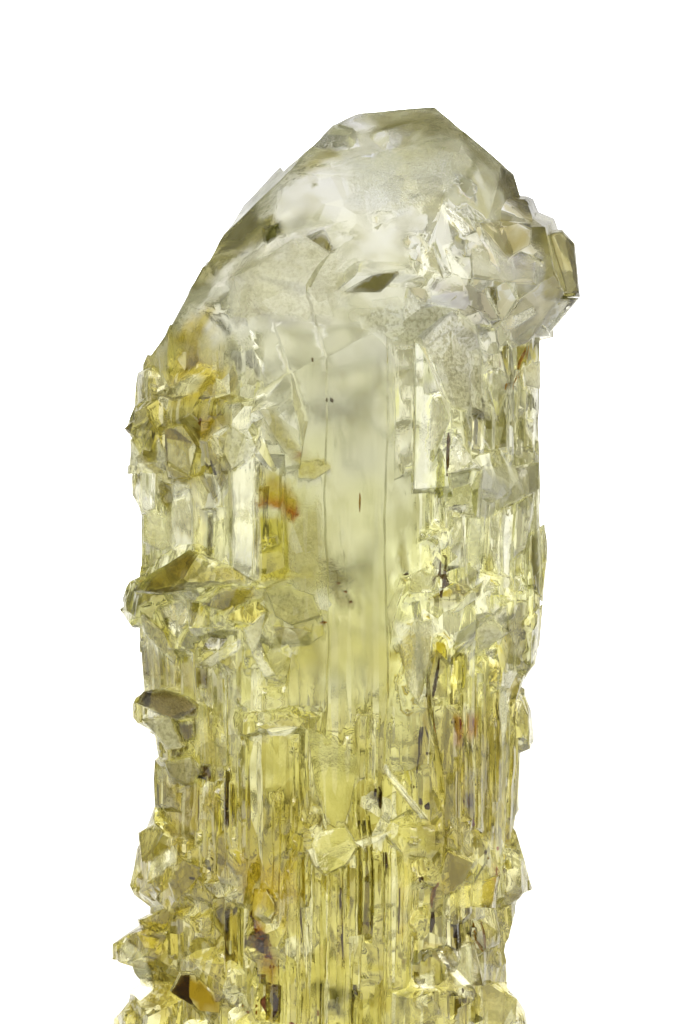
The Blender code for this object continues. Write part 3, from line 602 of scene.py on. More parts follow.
def bend_faces(piece, box):
    shape = bmesh.new()
    shape.from_mesh(piece.data)
    bmesh.ops.triangulate(shape, faces=shape.faces)
    for _ in range(6):
        long_edges = [
            edge for edge in shape.edges
            if edge.calc_length() > MM * (LONGEST_EDGE_IN_FRONT if edge.verts[0].co.y < 0 else LONGEST_EDGE)
        ]
        if not long_edges:
            break
        bmesh.ops.subdivide_edges(shape, edges=long_edges, cuts=1)
        bmesh.ops.triangulate(shape, faces=[face for face in shape.faces if len(face.verts) > 3])
    low, high = (corner / MM for corner in box)
    for vertex in shape.verts:
        spot = vertex.co / MM
        shift = Vector((0, 0, 0))
        for closeness, amount in BENDS:
            wave = noise_vector(spot * closeness + Vector((31.0, 7.0, 0)))
            shift += Vector((wave.x, wave.y, wave.z * 0.6)) * amount
        spot += shift * min(1.0, max(0.0, (spot.z - 0.3) / 3.0))
        for axis in range(3):
            spot[axis] = min(max(spot[axis], low[axis]), high[axis])
        vertex.co = spot * MM
    shape.to_mesh(piece.data)
    shape.free()


WAVE_SEED = 3
seed_set(WAVE_SEED)
bend_faces(crystal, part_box("heliodor_crystal"))


# What each look passes of the light that clear crystal passes, in red, green and blue
LOOKS = {
    "clear": (1.00, 1.02, 1.09),
    "bright": (1.60, 1.63, 1.86),
    "pearl": (1.38, 1.37, 1.53),
    "mist": (1.23, 1.24, 1.33),
    "milky": (0.93, 0.92, 0.85),
    "cool": (0.82, 0.81, 0.90),
    "cool grey": (0.74, 0.71, 0.78),
    "smoke": (0.97, 0.87, 0.32),
    "slate": (1.55, 1.54, 1.69),
    "dark grey": (0.33, 0.29, 0.11),
    "sage": (0.72, 0.66, 0.43),
    "drab": (0.54, 0.54, 0.41),
    "olive": (0.44, 0.41, 0.22),
    "deep olive": (0.12, 0.12, 0.03),
    "dark olive": (0.25, 0.22, 0.07),
    "straw": (0.95, 0.92, 0.45),
    "lemon": (1.12, 1.11, 1.20),
    "cream": (1.49, 1.43, 1.16),
    "gold": (0.74, 0.66, 0.17),
    "honey": (0.70, 0.64, 0.29),
    "amber": (0.64, 0.55, 0.13),
    "bronze": (1.12, 0.95, 0.40),
    "tan": (0.86, 0.81, 0.53),
    "buff": (0.81, 0.72, 0.44),
    "moss": (0.51, 0.43, 0.08),
    "rust": (0.36, 0.24, 0.02),
    "brown": (0.17, 0.13, 0.02),
    "umber": (0.21, 0.16, 0.06),
    "dark brown": (0.13, 0.08, 0.02),
    "peach": (1.07, 1.03, 0.82),
    "pink": (0.90, 0.64, 0.50),
    "red": (0.45, 0.13, 0.03),
    "rust core": (0.36, 0.16, 0.01),
    "ochre": (0.66, 0.50, 0.07), "fox": (0.80, 0.44, 0.12),
}

# Painted highlights: mirror-bright faces painted near white for the glints of light on them, which hides
# the crystal's own colour
BRIGHT_LOOKS = {"white": (0.97, 0.97, 0.96), "white2": (0.93, 0.93, 0.86)}

# The crystal's own colour at a few heights, from straw at the foot to nearly none at the tip
ZONE_HEIGHTS = [0.0, 21.0, 33.0, 50.0, 60.0]
ZONE_COLOURS = [
    (0.61, 0.56, 0.18), (0.60, 0.56, 0.20), (0.60, 0.60, 0.33), (0.64, 0.64, 0.64), (0.64, 0.65, 0.80),
]

# Colour zones and stains that show from the front, with painted shade and painted highlights among them:
# the olive bands along the rim of the tip are painted shade, and the white edge is a painted highlight.
# Each has the look, how soft the edge is, how frosted the place is, and its outline across and up
STAINS_SHADE_AND_HIGHLIGHTS = [
    ("pale face", "milky", 0.3, 0.5, [(-6.6, 49.9), (-4.6, 51.1), (-1.6, 52.2), (0.1, 50.9),
     (0.4, 49.1), (-0.2, 47.4), (-2.3, 46.9), (-4.2, 47.3), (-5.9, 46.9)]),
    ("rim band, upper", "drab", 0.35, 0.2, [(0.4, 59.8), (1.1, 58.8), (0.1, 57.2), (-1.7, 56),
     (-3.2, 55.2), (-4, 53.6), (-4.6, 53.2), (-6.1, 53.6), (-5.4, 55.1), (-4.6, 56.2),
     (-2.9, 57.8), (-1.1, 59.4)]),
    ("rim band, lower", "olive", 0.3, 0, [(-4.6, 53.2), (-3.7, 53.5), (-3.1, 52.2), (-4.6, 51.7),
     (-6.4, 50.5), (-7.3, 49.7), (-8.3, 48.7), (-9.6, 49.1), (-8.3, 52.1), (-6.1, 54.2),
     (-5.3, 54.2)]),
    ("rim foot", "drab", 0.25, 0.1, [(-9.4, 49.6), (-7.4, 49.4), (-7.6, 48.5), (-10, 46),
     (-11.3, 45.5), (-11.3, 47.3)]),
    ("ridge line", "lemon", 0.12, 0.3, [(-7.6, 49.1), (-5.9, 50.5), (-4.4, 51.5), (-2.2, 52.4),
     (-0.5, 52.9), (-0.4, 52.6), (-2.1, 52.1), (-4.3, 51.1), (-5.8, 50.2), (-7.4, 48.8)]),
    ("bright crescent", "cool", 0.1, 0.1, [(-5.2, 48.5), (-4.6, 47.6), (-3.5, 47.1),
     (-2, 46.9), (-0.5, 47.2), (-0.5, 46.9), (-2, 46.6), (-3.6, 46.8), (-4.8, 47.4)]),
    ("rim blotch", "honey", 0.4, 0, [(-2.3, 56.6), (-0.5, 57.6), (0.2, 57.1), (-1.2, 56.2),
     (-2.3, 55.7)]),
    ("crest band", "olive", 0.4, 0.2, [(2, 59.4), (3.7, 59.9), (6.1, 59.8), (7.3, 59), (8.4, 57.7),
     (12.1, 54.9), (12.2, 53.9), (11.1, 54), (9.8, 55.6), (8.2, 56.8), (7, 58.1), (5.5, 58.1),
     (3.7, 58.4), (2, 58.6)]),
    ("crest streak", "drab", 0.3, 0.2, [(2.8, 57.7), (4.2, 58.1), (5.5, 58), (6.4, 57.7), (5.5, 57.4),
     (4.2, 57.4)]),
    ("crest right stripe", "dark olive", 0.25, 0.2, [(10, 54.7), (11.8, 54.1), (12.2, 53.8), (11.2, 53.6),
     (10.4, 54)]),
    ("dome field", "clear", 0.6, 0.35, [(0.7, 56.9), (3.7, 57.5), (7, 57.5), (7.9, 56.5), (7.4, 55.6),
     (6.1, 54.5), (3.7, 53.6), (0.7, 53.9)]),
    ("right shoulder", "dark grey", 0.3, 0.2, [(9.7, 56.4), (11, 55.7), (12.6, 55), (12.6, 54.1),
     (10.3, 54.1), (9.4, 55.3)]),
    ("overhang band", "olive", 0.3, 0.1, [(10.9, 53.8), (12.1, 54.3), (13.9, 53.2), (14.9, 50.8),
     (14.8, 48.2), (13.4, 46.6), (12.2, 47), (12, 50.3), (11.5, 52.3)]),
    ("dark crease", "drab", 0.12, 0.1, [(8, 57.2), (8.2, 57.1), (8.3, 56.2), (7.9, 55.6), (7, 55),
     (6.1, 54), (5.9, 54.2), (6.8, 55.3), (7.7, 55.8), (8, 56.4)]),
    ("amber flame A", "amber", 0.3, 0, [(-9, 46.9), (-7.6, 48.1), (-7.1, 48.2), (-7.6, 46.8),
     (-8.3, 45.9), (-7.9, 45.4), (-8.3, 44.6), (-9.1, 44.1), (-8.8, 45.3), (-9.7, 46)]),
    ("amber flame B", "amber", 0.25, 0, [(-9.5, 45.5), (-8.5, 45.4), (-8, 44.6), (-9.1, 44),
     (-9.7, 44.5)]),
    ("yellow bed", "smoke", 0.4, 0, [(-10, 43.9), (-8, 44.8), (-6.6, 44.2), (-6.7, 42.7), (-8.5, 42.4),
     (-10.1, 42.4)]),
    ("amber ring", "moss", 0.4, 0, [(-8.8, 40.2), (-8.4, 41.5), (-6.8, 41.7), (-6.5, 41.1),
     (-7.4, 40.3), (-8.2, 39.7)]),
    ("left cluster glow", "smoke", 1, 0.1, [(-11.9, 45.5), (-8.3, 47.3), (-6.5, 44.9), (-5.9, 41.3),
     (-6.5, 38.3), (-9.5, 36.5), (-12.2, 38.9)]),
    ("brown thread", "tan", 0.15, 0, [(11.3, 46.9), (11.6, 46.4), (11.6, 45.5), (10.6, 44.2),
     (10.3, 43.4), (10.1, 43.8), (11.1, 45.3)]),
    ("rust speck", "umber", 0.15, 0, [(9.7, 43.4), (10.2, 43.7), (10.1, 43), (9.8, 42.8)]),
    ("dark slot", "deep olive", 0.1, 0, [(6.2, 40.4), (6.5, 40.4), (6.5, 38.3), (6.4, 37.9)]),
    ("rust cap", "rust core", 0.15, 0.2, [(-2.8, 38.9), (-2.4, 39.4), (-1.8, 39.3), (-1.6, 39.1),
     (-2.5, 38.8)]),
    ("rust line", "ochre", 0.25, 0.2, [(-4.9, 36.5), (-4.6, 37.3), (-3.6, 37.6), (-2.8, 37.2),
     (-2.2, 36.3), (-2.2, 35.6), (-2.7, 35.3), (-3.5, 35.9), (-4.3, 36), (-4.9, 35.9)]),
    ("rust line, lower", "fox", 0.12, 0.2, [(-4.9, 36.4), (-4.1, 36.6), (-3.2, 36.5),
     (-2.4, 36.1), (-2.2, 35.6), (-2.7, 35.3), (-3.4, 35.9), (-4.2, 36.1), (-4.9, 36.1)]),
    ("rust spot", "fox", 0.12, 0, [(-3, 36), (-2.5, 36.1), (-2.3, 35.7), (-2.8, 35.4)]),
    ("amber pane", "gold", 0.15, 0, [(-4.7, 35.5), (-2.7, 35.5), (-2.8, 31.8), (-4.7, 31.6)]),
    ("pane above", "gold", 0.3, 0, [(-4.7, 38.6), (-3.8, 38.1), (-3, 37.7), (-3.9, 37.2), (-4.7, 36.7)]),
    ("pink stain A", "pink", 0.5, 0, [(-6.1, 36.8), (-5.3, 36.7), (-5.5, 35.5), (-6.2, 35.5)]),
    ("pink stain B", "pink", 0.4, 0, [(-5.7, 34.2), (-4.9, 34.3), (-5, 33.2), (-5.7, 33.4)]),
    ("pink stain C", "pink", 0.4, 0, [(-11.6, 38.3), (-11.2, 38), (-11.3, 37.1), (-11.8, 37.3)]),
    ("dark streak", "dark olive", 0.06, 0, [(-7.7, 35.5), (-7.4, 35.5), (-7.5, 32.6), (-7.7, 32.8)]),
    ("fibre strip", "tan", 0.5, 0.5, [(-2.6, 35.3), (-1.3, 36.1), (-0.8, 33.3), (-0.5, 31.1),
     (-2.1, 31.2), (-2.8, 32.2)]),
    ("rust veil", "dark grey", 0.6, 0.2, [(-0.8, 32.9), (-0.1, 32.7), (1.1, 30.4), (1.2, 29.7), (0, 29.9),
     (-0.7, 31.6)]),
    ("rust mark", "rust", 0.15, 0, [(-1.3, 29.5), (-0.5, 29.3), (-0.7, 29), (-1.2, 29.2)]),
    ("right hackle", "bright", 1.0, 0, [(3.6, 32.9), (6.1, 36.5), (10.9, 37.1), (11.8, 28.1),
     (9.7, 25.1), (3.7, 24.5)]),
    ("brown lens", "olive", 0.12, 0, [(3.7, 34.3), (4.1, 33.5), (4.2, 32.3), (3.7, 32.2), (3.5, 33.1)]),
    ("dark lens spot", "deep olive", 0.08, 0, [(3.7, 32.3), (4.2, 32.3), (4.1, 31.9)]),
    ("slot shadow", "moss", 0.15, 0, [(5.4, 27.6), (6.1, 27.7), (5.9, 26.2), (5.4, 23.6),
     (4.8, 20.5), (4.4, 20.5), (4.7, 22.7), (5.2, 25.1)]),
    ("brown columns, left", "sage", 0.4, 0.1, [(-11.5, 28.1), (-9.6, 26.8), (-8.5, 26.8), (-8.5, 25.1),
     (-11.4, 25.1)]),
    ("brown columns, knob", "buff", 0.3, 0.1, [(-10.3, 19.8), (-7.4, 19.6), (-7.2, 18.5), (-9, 15.7),
     (-10.1, 15.7)]),
    ("scaly patch", "pearl", 0.3, 0.6, [(-8.2, 23.2), (-6.8, 22), (-7.1, 20.4), (-7.9, 21.2),
     (-8.3, 22.1)]),
    ("white edge", "white", 0.1, 0.1, [(-11.8, 28.6), (-11.5, 28.6), (-11.5, 25.1), (-11.7, 25.1)]),
    ("blue-grey column", "clear", 0.9, 0, [(2, 25.1), (4.4, 25.1), (4.5, 20.8), (2.5, 20.4)]),
    ("brown slit", "dark brown", 0.12, 0, [(-1.1, 19.1), (-0.8, 18.1), (-0.9, 17.2), (-1.3, 17.5)]),
    ("brown patch", "brown", 0.3, 0, [(1.6, 19.6), (2.5, 19.7), (2.5, 18.2), (1.9, 18.7)]),
    ("olive zone", "honey", 1.2, 0, [(-7.1, 19.7), (-1.1, 19.1), (-1.7, 14.9), (-2.9, 11.9),
     (-5.9, 12.5), (-8.3, 15.5)]),
    ("brown zone", "bronze", 0.8, 0.1, [(-6.2, 15.4), (-3, 14.8), (-2.9, 11.6), (-4.3, 12.2),
     (-5.8, 13.2)]),
    ("rust trail A", "ochre", 0.3, 0.2, [(-5.3, 12.4), (-4.3, 11.5), (-3.6, 9.8), (-3.5, 8.5),
     (-4.6, 8.5), (-4.9, 10.7)]),
    ("rust trail B", "fox", 0.2, 0.2, [(-5, 12), (-4.2, 11.2), (-3.7, 9.6), (-4.2, 9.5),
     (-4.9, 10.9)]),
    ("rust trail C", "ochre", 0.3, 0.2, [(-4.2, 9.4), (-3.6, 9.5), (-3.4, 7.6), (-4.3, 7.6)]),
    ("rust dots", "olive", 0.3, 0.2, [(-5.9, 7), (-5.2, 7), (-5.2, 6.1), (-5.9, 6.2)]),
    ("straw zone", "milky", 1.2, 0, [(-2.9, 15.5), (4.9, 15.5), (4.9, 5.3), (-2.9, 5.3)]),
    ("low tip haze", "cool", 0.5, 0.1, [(-13.6, 11), (-10.4, 11), (-10.2, 5.9), (-13.1, 5.8)]),
    ("left low glow", "sage", 1, 0, [(-11.9, 16.7), (-6.5, 15.5), (-5.9, 5.9), (-12.5, 5.3)]),
    ("smudge A", "deep olive", 0.5, 0, [(-1.1, 8), (0.7, 8), (0.5, 6.5), (-0.7, 6.2)]),
    ("smudge B", "sage", 0.4, 0, [(2.2, 7.9), (2.9, 7.9), (2.8, 6.5), (2.3, 6.5)]),
    ("smudge C", "deep olive", 0.4, 0, [(3.5, 7.8), (4.3, 7.8), (4.2, 6.7), (3.6, 6.7)]),
    ("dark column A", "amber", 0.25, 0, [(-0.1, 14.6), (0.2, 14.6), (0.4, 9.2), (0.1, 9.2)]),
    ("dark column B", "peach", 0.3, 0, [(-2.5, 14.3), (-2.2, 13.1), (-1.9, 8.9), (-2.3, 8.9)]),
    ("dark column C", "buff", 0.25, 0, [(3.5, 13.7), (3.8, 13.7), (4, 10.7), (3.6, 10.7)]),
    ("red bar A", "fox", 0.12, 0, [(6.7, 23.8), (7.4, 23.8), (7.4, 22), (6.8, 22)]),
    ("red bar B", "fox", 0.12, 0, [(7.6, 23.8), (8.3, 23.8), (8.2, 22.4), (7.6, 22.4)]),
    ("dark pocket", "dark brown", 0.12, 0, [(7.4, 19.3), (8.1, 19.1), (8.1, 18.2), (7.6, 18.1)]),
    ("tan zone", "sage", 1.2, 0, [(5.2, 24.5), (10.6, 24.5), (10.6, 16.1), (5.2, 14.9)]),
    ("right pale line", "peach", 0.15, 0, [(7, 22.4), (7.5, 22.1), (7.4, 18.5), (7.1, 18.5)]),
    ("cream column", "pearl", 0.35, 0.1, [(3.8, 15.7), (4.6, 15.7), (4.6, 9.7), (4, 9.7)]),
    ("pinkish haze", "dark grey", 0.9, 0.2, [(4.9, 16.9), (6.4, 16.7), (6.5, 15.7), (4.9, 16)]),
    ("rust streak", "umber", 0.2, 0, [(8.1, 11.3), (8.3, 11.1), (8.8, 9.7), (8.5, 9.6), (8.2, 10.6)]),
    ("rust flake", "rust", 0.2, 0, [(5.6, 14.2), (5.9, 13.7), (5.8, 12.2), (5.5, 12.5)]),
    ("magenta line", "pink", 0.12, 0, [(9.3, 15), (9.5, 14.5), (9.2, 12.6), (9.1, 12.7)]),
    ("gold hackle", "olive", 0.6, 0.4, [(10, 13.8), (11.2, 14.8), (11.3, 13.4), (10.2, 12)]),
    ("grey edge", "deep olive", 0.3, 0, [(10.3, 18.2), (10.8, 18.4), (10.9, 15.6), (10.6, 16.4)]),
    ("tan foot zone", "cool grey", 1.2, 0, [(5.5, 12.5), (10, 12.5), (10.6, 5.3), (5.5, 5.3)]),
]


BACK_STAINS = 80
LOOK_POWER = 1.6


def step_between(low, high, value):
    share = np.clip((value - low) / (high - low), 0.0, 1.0)
    return share * share * (3 - 2 * share)


def cover(x, z, outline, soft):
    """1 inside an outline and 0 outside it, for arrays of points, with a soft edge."""
    near = np.full(x.shape, 1e9)
    odd = np.zeros(x.shape, dtype=bool)
    for (x0, z0), (x1, z1) in zip(outline, outline[1:] + outline[:1]):
        run_x, run_z = x1 - x0, z1 - z0
        along = np.clip(((x - x0) * run_x + (z - z0) * run_z) / (run_x**2 + run_z**2 + 1e-9), 0, 1)
        near = np.minimum(near, np.hypot(x - x0 - along * run_x, z - z0 - along * run_z))
        crosses = (z0 > z) != (z1 > z)
        odd ^= crosses & (x < x0 + run_x * (z - z0) / (run_z + 1e-9))
    return step_between(-soft, soft, np.where(odd, near, -near))


def corners_of(piece):
    """Every corner of the mesh in millimetres, one row each."""
    flat = np.empty(len(piece.data.vertices) * 3)
    piece.data.vertices.foreach_get("co", flat)
    return flat.reshape(-1, 3) / MM


def looks_at(spots):
    """The tint, the frosting, the grit, the striation and the hackle at an array of points."""
    x, y, z = spots.T
    ragged = np.array([noise_vector(Vector(spot) * 1.4) for spot in zip(x, y, z)])
    broad = np.array([noise_vector(Vector(spot) * 0.35) for spot in zip(x, y, z)])
    tip_reach = step_between(44.0, 48.0, z) * 3.5
    in_front = step_between(1.5, -0.5, y - tip_reach)
    zones = np.array(ZONE_COLOURS)
    zone = [np.interp(z + broad[:, 0] * 7, ZONE_HEIGHTS, zones[:, channel]) for channel in range(3)]
    zone = np.column_stack(zone)
    cloudy = step_between(0.05, 0.5, ragged[:, 1] + broad[:, 1])[:, None]
    zone *= 1 - cloudy * (0.16, 0.17, 0.26)
    zone **= 0.5 + in_front[:, None]
    tint = zone.copy()
    frost = step_between(1.0, 5.0, y) * 0.9
    grit = step_between(0.2, 0.6, broad[:, 2]) * step_between(1.0, 5.0, y)
    smooth = step_between(43.0, 46.0, z)
    hackle = step_between(0.1, 0.5, broad[:, 1]) * step_between(1.0, 5.0, y) * 0.6
    for _, middle_x, middle_z, side, half_width, half_height, _, _, _ in HACKLE_ZONES:
        if side == FRONT:
            reach = np.hypot((x - middle_x) / half_width, (z - middle_z) / half_height)
            reach += ragged[:, 0] * 0.3 + broad[:, 1] * 0.3
            hackle = np.maximum(hackle, step_between(1.2, 0.85, reach) * in_front * (0.3 if middle_z > 45 else 0.6 if middle_z < 20 else 1.0))
    smooth = np.maximum(smooth, hackle * 0.6)
    face_middle = step_between(-5.0, -4.0, x) * step_between(5.0, 4.0, x) * in_front
    smooth = np.maximum(smooth, face_middle * (0.35 + step_between(23.0, 27.0, z) * 0.55))
    frost = np.maximum(frost, face_middle * step_between(24.0, 28.0, z) * 0.45)
    tint *= 1 - (face_middle * step_between(18.0, 24.0, z) * step_between(50.0, 46.0, z) * 0.08)[:, None]
    rows = [(look, soft, frosted, outline, False) for _, look, soft, frosted, outline in STAINS_SHADE_AND_HIGHLIGHTS]
    for _, look, soft, _, _, _, frosted, outline in FACETS:
        rows.append((look, soft, frosted, outline, True))
    for look, soft, frosted, outline, is_face in rows:
        wander = soft * 1.2
        share = cover(x + ragged[:, 0] * wander, z + ragged[:, 2] * wander, outline, soft) * in_front
        wide = share[:, None]
        if look in BRIGHT_LOOKS:
            tint = tint * (1 - wide) + np.array(BRIGHT_LOOKS[look]) * wide
        else:
            colour = np.array(LOOKS[look]) ** LOOK_POWER
            tint = tint * (1 - wide) + (zone if is_face else tint) * colour * wide
        frost = frost * (1 - share) + frosted * share
        grit = np.maximum(grit * (1 - share), frosted * share)
        smooth = np.maximum(smooth, share * (0.75 if is_face else 0.1))
        hackle = np.maximum(hackle * (1 - share * (0.7 if is_face else 0.0)), frosted * share * 0.6)
    bearing = np.degrees(np.arctan2(x, -y))
    behind = 1 - in_front
    chosen = random.Random(5)
    looks = ["sage", "straw", "tan", "pearl", "milky", "olive", "cool grey", "gold"]
    for _ in range(BACK_STAINS):
        look, height = chosen.choice(looks), chosen.uniform(0, 56)
        middle = 180 + chosen.choice((-1, 1)) * chosen.uniform(20, 100)
        wide, tall = chosen.uniform(0.6, 2.6), chosen.uniform(0.6, 3.4)
        away = (bearing - middle + 180) % 360 - 180
        reach = np.hypot(away / 57.3 * 10.5 / wide, (z - height) / tall) + ragged[:, 1] * 0.35
        share = step_between(1.0, 0.75, reach) * behind
        tint *= 1 + (np.array(LOOKS[look]) ** LOOK_POWER - 1) * share[:, None]
    return np.clip(tint, 0, 0.98), {"frost": frost, "grit": grit, "striation": 1 - smooth, "hackle": hackle}


def refine(piece, new_triangles):
    """Splits the edges across which the tint changes most, so that the outlines stay crisp."""
    spots = corners_of(piece)
    tint, _ = looks_at(spots)
    shape = bmesh.new()
    shape.from_mesh(piece.data)
    shape.edges.ensure_lookup_table()
    ends = np.array([[corner.index for corner in edge.verts] for edge in shape.edges])
    change = np.abs(tint[ends[:, 0]] - tint[ends[:, 1]]).sum(axis=1)
    length = np.linalg.norm(spots[ends[:, 0]] - spots[ends[:, 1]], axis=1)
    worth = np.where(length > FINEST_EDGE, change * length, 0)
    chosen = np.argsort(-worth)[: new_triangles // 2]
    split = [shape.edges[index] for index in chosen if worth[index] > 0]
    bmesh.ops.subdivide_edges(shape, edges=split, cuts=1)
    bmesh.ops.triangulate(shape, faces=[face for face in shape.faces if len(face.verts) > 3])
    shape.to_mesh(piece.data)
    shape.free()


def paint(piece):
    """Stores what looks_at finds at every corner of the mesh, for the material to read."""
    tint, shares = looks_at(corners_of(piece))
    colours = piece.data.attributes.new("tint", "FLOAT_COLOR", "POINT")
    colours.data.foreach_set("color", np.column_stack([tint, np.ones(len(tint))]).ravel())
    for name, values in shares.items():
        stored = piece.data.attributes.new(name, "FLOAT", "POINT")
        stored.data.foreach_set("value", values)


FINEST_EDGE = 0.12
MOST_TRIANGLES = 196000
for rounds_left in (3, 2, 1):
    refine(crystal, (MOST_TRIANGLES - len(crystal.data.polygons)) // rounds_left)
crystal.data.polygons.foreach_set("use_smooth", [True] * len(crystal.data.polygons))
crystal.data.set_sharp_from_angle(angle=math.radians(18))
paint(crystal)


class Socket:
    """A shader value. Python's own signs on it add the Math nodes."""

    def __init__(self, tree, output):
        self.tree = tree
        self.output = output

    def node(self, kind, settings=None, **inputs):
        """A node of a type, with its settings and the values or links of its sockets."""
        made = self.tree.nodes.new(kind)
        for key, value in (settings or {}).items():
            if key == "stops":
                fill_ramp(made.color_ramp, value)
            else:
                setattr(made, key, value)
        for key, value in inputs.items():
            index = key[1:]
            target = made.inputs[int(index)] if index.isdigit() else made.inputs[key.replace("_", " ")]
            if isinstance(value, Socket):
                self.tree.links.new(value.output, target)
            else:
                target.default_value = value
        return made

    def of(self, made, name):
        return Socket(self.tree, made.outputs[name])

    def math(self, operation, *values):
        inputs = {f"i{index}": value for index, value in enumerate(values)}
        made = self.node("ShaderNodeMath", {"operation": operation}, **inputs)
        return Socket(self.tree, made.outputs[0])

    def __add__(self, other):
        return self.math("ADD", self, other)

    __radd__ = __add__

    def __sub__(self, other):
        return self.math("SUBTRACT", self, other)

    def __rsub__(self, other):
        return self.math("SUBTRACT", other, self)

    def __mul__(self, other):
        return self.math("MULTIPLY", self, other)

    __rmul__ = __mul__

    def __truediv__(self, other):
        return self.math("DIVIDE", self, other)

    def clamp(self, low=0.0, high=1.0):
        return self.math("MINIMUM", self.math("MAXIMUM", self, low), high)

    def between(self, low, high):
        """0 below low, 1 above high, and a smooth step between them."""
        made = self.node(
            "ShaderNodeMapRange",
            {"interpolation_type": "SMOOTHSTEP"},
            i0=self, i1=low, i2=high, i3=0.0, i4=1.0,
        )
        return Socket(self.tree, made.outputs[0])


def fill_ramp(ramp, stops):
    while len(ramp.elements) < len(stops):
        ramp.elements.new(0.5)
    for element, (position, colour) in zip(ramp.elements, stops):
        element.position = position
        element.color = colour


def new_material(name):
    """A material with its tree, its Principled shader and a socket to start expressions from."""
    material = bpy.data.materials.new(name)
    material.use_nodes = True
    tree = material.node_tree
    shader = tree.nodes["Principled BSDF"]
    start = Socket(tree, None)
    return material, tree, shader, start


heliodor, tree, glass, start = new_material("heliodor")
glass.inputs["Transmission Weight"].default_value = 1.0
glass.inputs["IOR"].default_value = 1.577
coordinates = start.node("ShaderNodeTexCoord")
place = start.of(coordinates, "Object")
parts = start.node("ShaderNodeSeparateXYZ", None, Vector=place)
x, y, z = (start.of(parts, axis) / MM for axis in "XYZ")


def noise(position, scale, detail=3.0, roughness=0.55, distortion=0.0, stretch=(1, 1, 1)):
    scaled = start.node("ShaderNodeMapping", None, Vector=position, Scale=stretch)
    made = start.node(
        "ShaderNodeTexNoise", None,
        Vector=start.of(scaled, "Vector"), Scale=scale, Detail=detail,
        Roughness=roughness, Distortion=distortion,
    )
    return start.of(made, "Fac")


def blend(kind, factor, first, second):
    settings = {"data_type": "RGBA", "blend_type": kind, "clamp_result": True}
    made = start.node("ShaderNodeMix", settings, i0=factor, i6=first, i7=second)
    return Socket(made.id_data, made.outputs[2])


def stored(name, output="Fac"):
    made = start.node("ShaderNodeAttribute", {"attribute_name": name})
    return start.of(made, output)


def vector_math(operation, first, second, share=None):
    inputs = {"i0": first}
    if second is not None:
        inputs["i1"] = second
    if share is not None:
        inputs["Scale"] = share
    return start.of(start.node("ShaderNodeVectorMath", {"operation": operation}, **inputs), "Vector")


RELIEF_DEPTH = 0.0004


def chipped(position, stretch):
    """Cells with a flat face each, tilted at random: each cell's slope, and a random share for it."""
    scaled = start.of(start.node("ShaderNodeMapping", None, Vector=position, Scale=stretch), "Vector")
    made = start.node("ShaderNodeTexVoronoi", None, Vector=scaled, Scale=1.0)
    tilt = vector_math("SUBTRACT", start.of(made, "Color"), (0.5, 0.5, 0.5))
    slope = vector_math("MULTIPLY", tilt, tuple(number * RELIEF_DEPTH for number in stretch))
    share = start.node("ShaderNodeSeparateColor", None, Color=start.of(made, "Color"))
    return slope, start.of(share, "Blue")


def graded(share, stops):
    return start.of(start.node("ShaderNodeValToRGB", {"stops": stops}, Fac=share), "Color")


striation, frost, grit, hackle = (stored(name) for name in ("striation", "frost", "grit", "hackle"))
low_down = 1 - z.between(14.0, 40.0) * 0.6
slat_slope, slat_share = chipped(place, (2600.0, 2600.0, 75.0))
chip_slope, chip_share = chipped(place, (680.0, 680.0, 580.0))
grain = noise(place, 4200.0, 3.0, 0.65)
slat_tint = graded(slat_share, [(0.05, (0.42, 0.36, 0.14, 1)), (0.22, (0.85, 0.82, 0.62, 1)),
                                (0.35, (1, 1, 1, 1))])
chip_tint = graded(chip_share, [(0.08, (0.34, 0.31, 0.11, 1)), (0.28, (0.82, 0.79, 0.55, 1)),
                                (0.42, (1, 1, 1, 1))])
tinted = blend("MULTIPLY", striation * low_down, stored("tint", "Color"), slat_tint)
tinted = blend("MULTIPLY", hackle, tinted, chip_tint)
# Painted highlights: a share of the slats and chips is painted in a pale form of their tint, as glints,
# where the tint is not dark
clean = start.of(start.node("ShaderNodeSeparateColor", None, Color=stored("tint", "Color")), "Green")
bright = slat_share.between(0.84, 0.90) * striation * 0.7
bright = (bright + chip_share.between(0.78, 0.84) * hackle) * clean.between(0.06, 0.26)
glint = start.of(start.node("ShaderNodeGamma", None, Color=stored("tint", "Color"), Gamma=0.25), "Color")
tinted = blend("MIX", bright.clamp(), tinted, glint)
tinted = blend("MULTIPLY", grain.between(0.42, 0.64) * grit, tinted, (0.40, 0.38, 0.28, 1))
tree.links.new(tinted.output, glass.inputs["Base Color"])

slope = vector_math(
    "ADD",
    vector_math("SCALE", slat_slope, None, share=striation * 0.45),
    vector_math("SCALE", chip_slope, None, share=hackle * 1.3),
)
turned = start.node(
    "ShaderNodeVectorTransform", {"vector_type": "VECTOR", "convert_from": "OBJECT", "convert_to": "WORLD"},
    Vector=slope,
)
geometry = start.node("ShaderNodeNewGeometry")
normal = vector_math("SUBTRACT", start.of(geometry, "Normal"), start.of(turned, "Vector"))
normal = start.of(start.node("ShaderNodeVectorMath", {"operation": "NORMALIZE"}, i0=normal), "Vector")
relief = grain * (0.012 + grit * 0.50)
bump = start.node(
    "ShaderNodeBump", None, Strength=1.0, Distance=RELIEF_DEPTH, Height=relief, Normal=normal
)
tree.links.new(bump.outputs["Normal"], glass.inputs["Normal"])
roughness = 0.06 + frost * 0.45
tree.links.new(roughness.output, glass.inputs["Roughness"])
absorb = start.node("ShaderNodeVolumeAbsorption")
absorb.inputs["Color"].default_value = (0.89, 0.90, 0.70, 1)
absorb.inputs["Density"].default_value = 34.0
tree.links.new(absorb.outputs["Volume"], tree.nodes["Material Output"].inputs["Volume"])

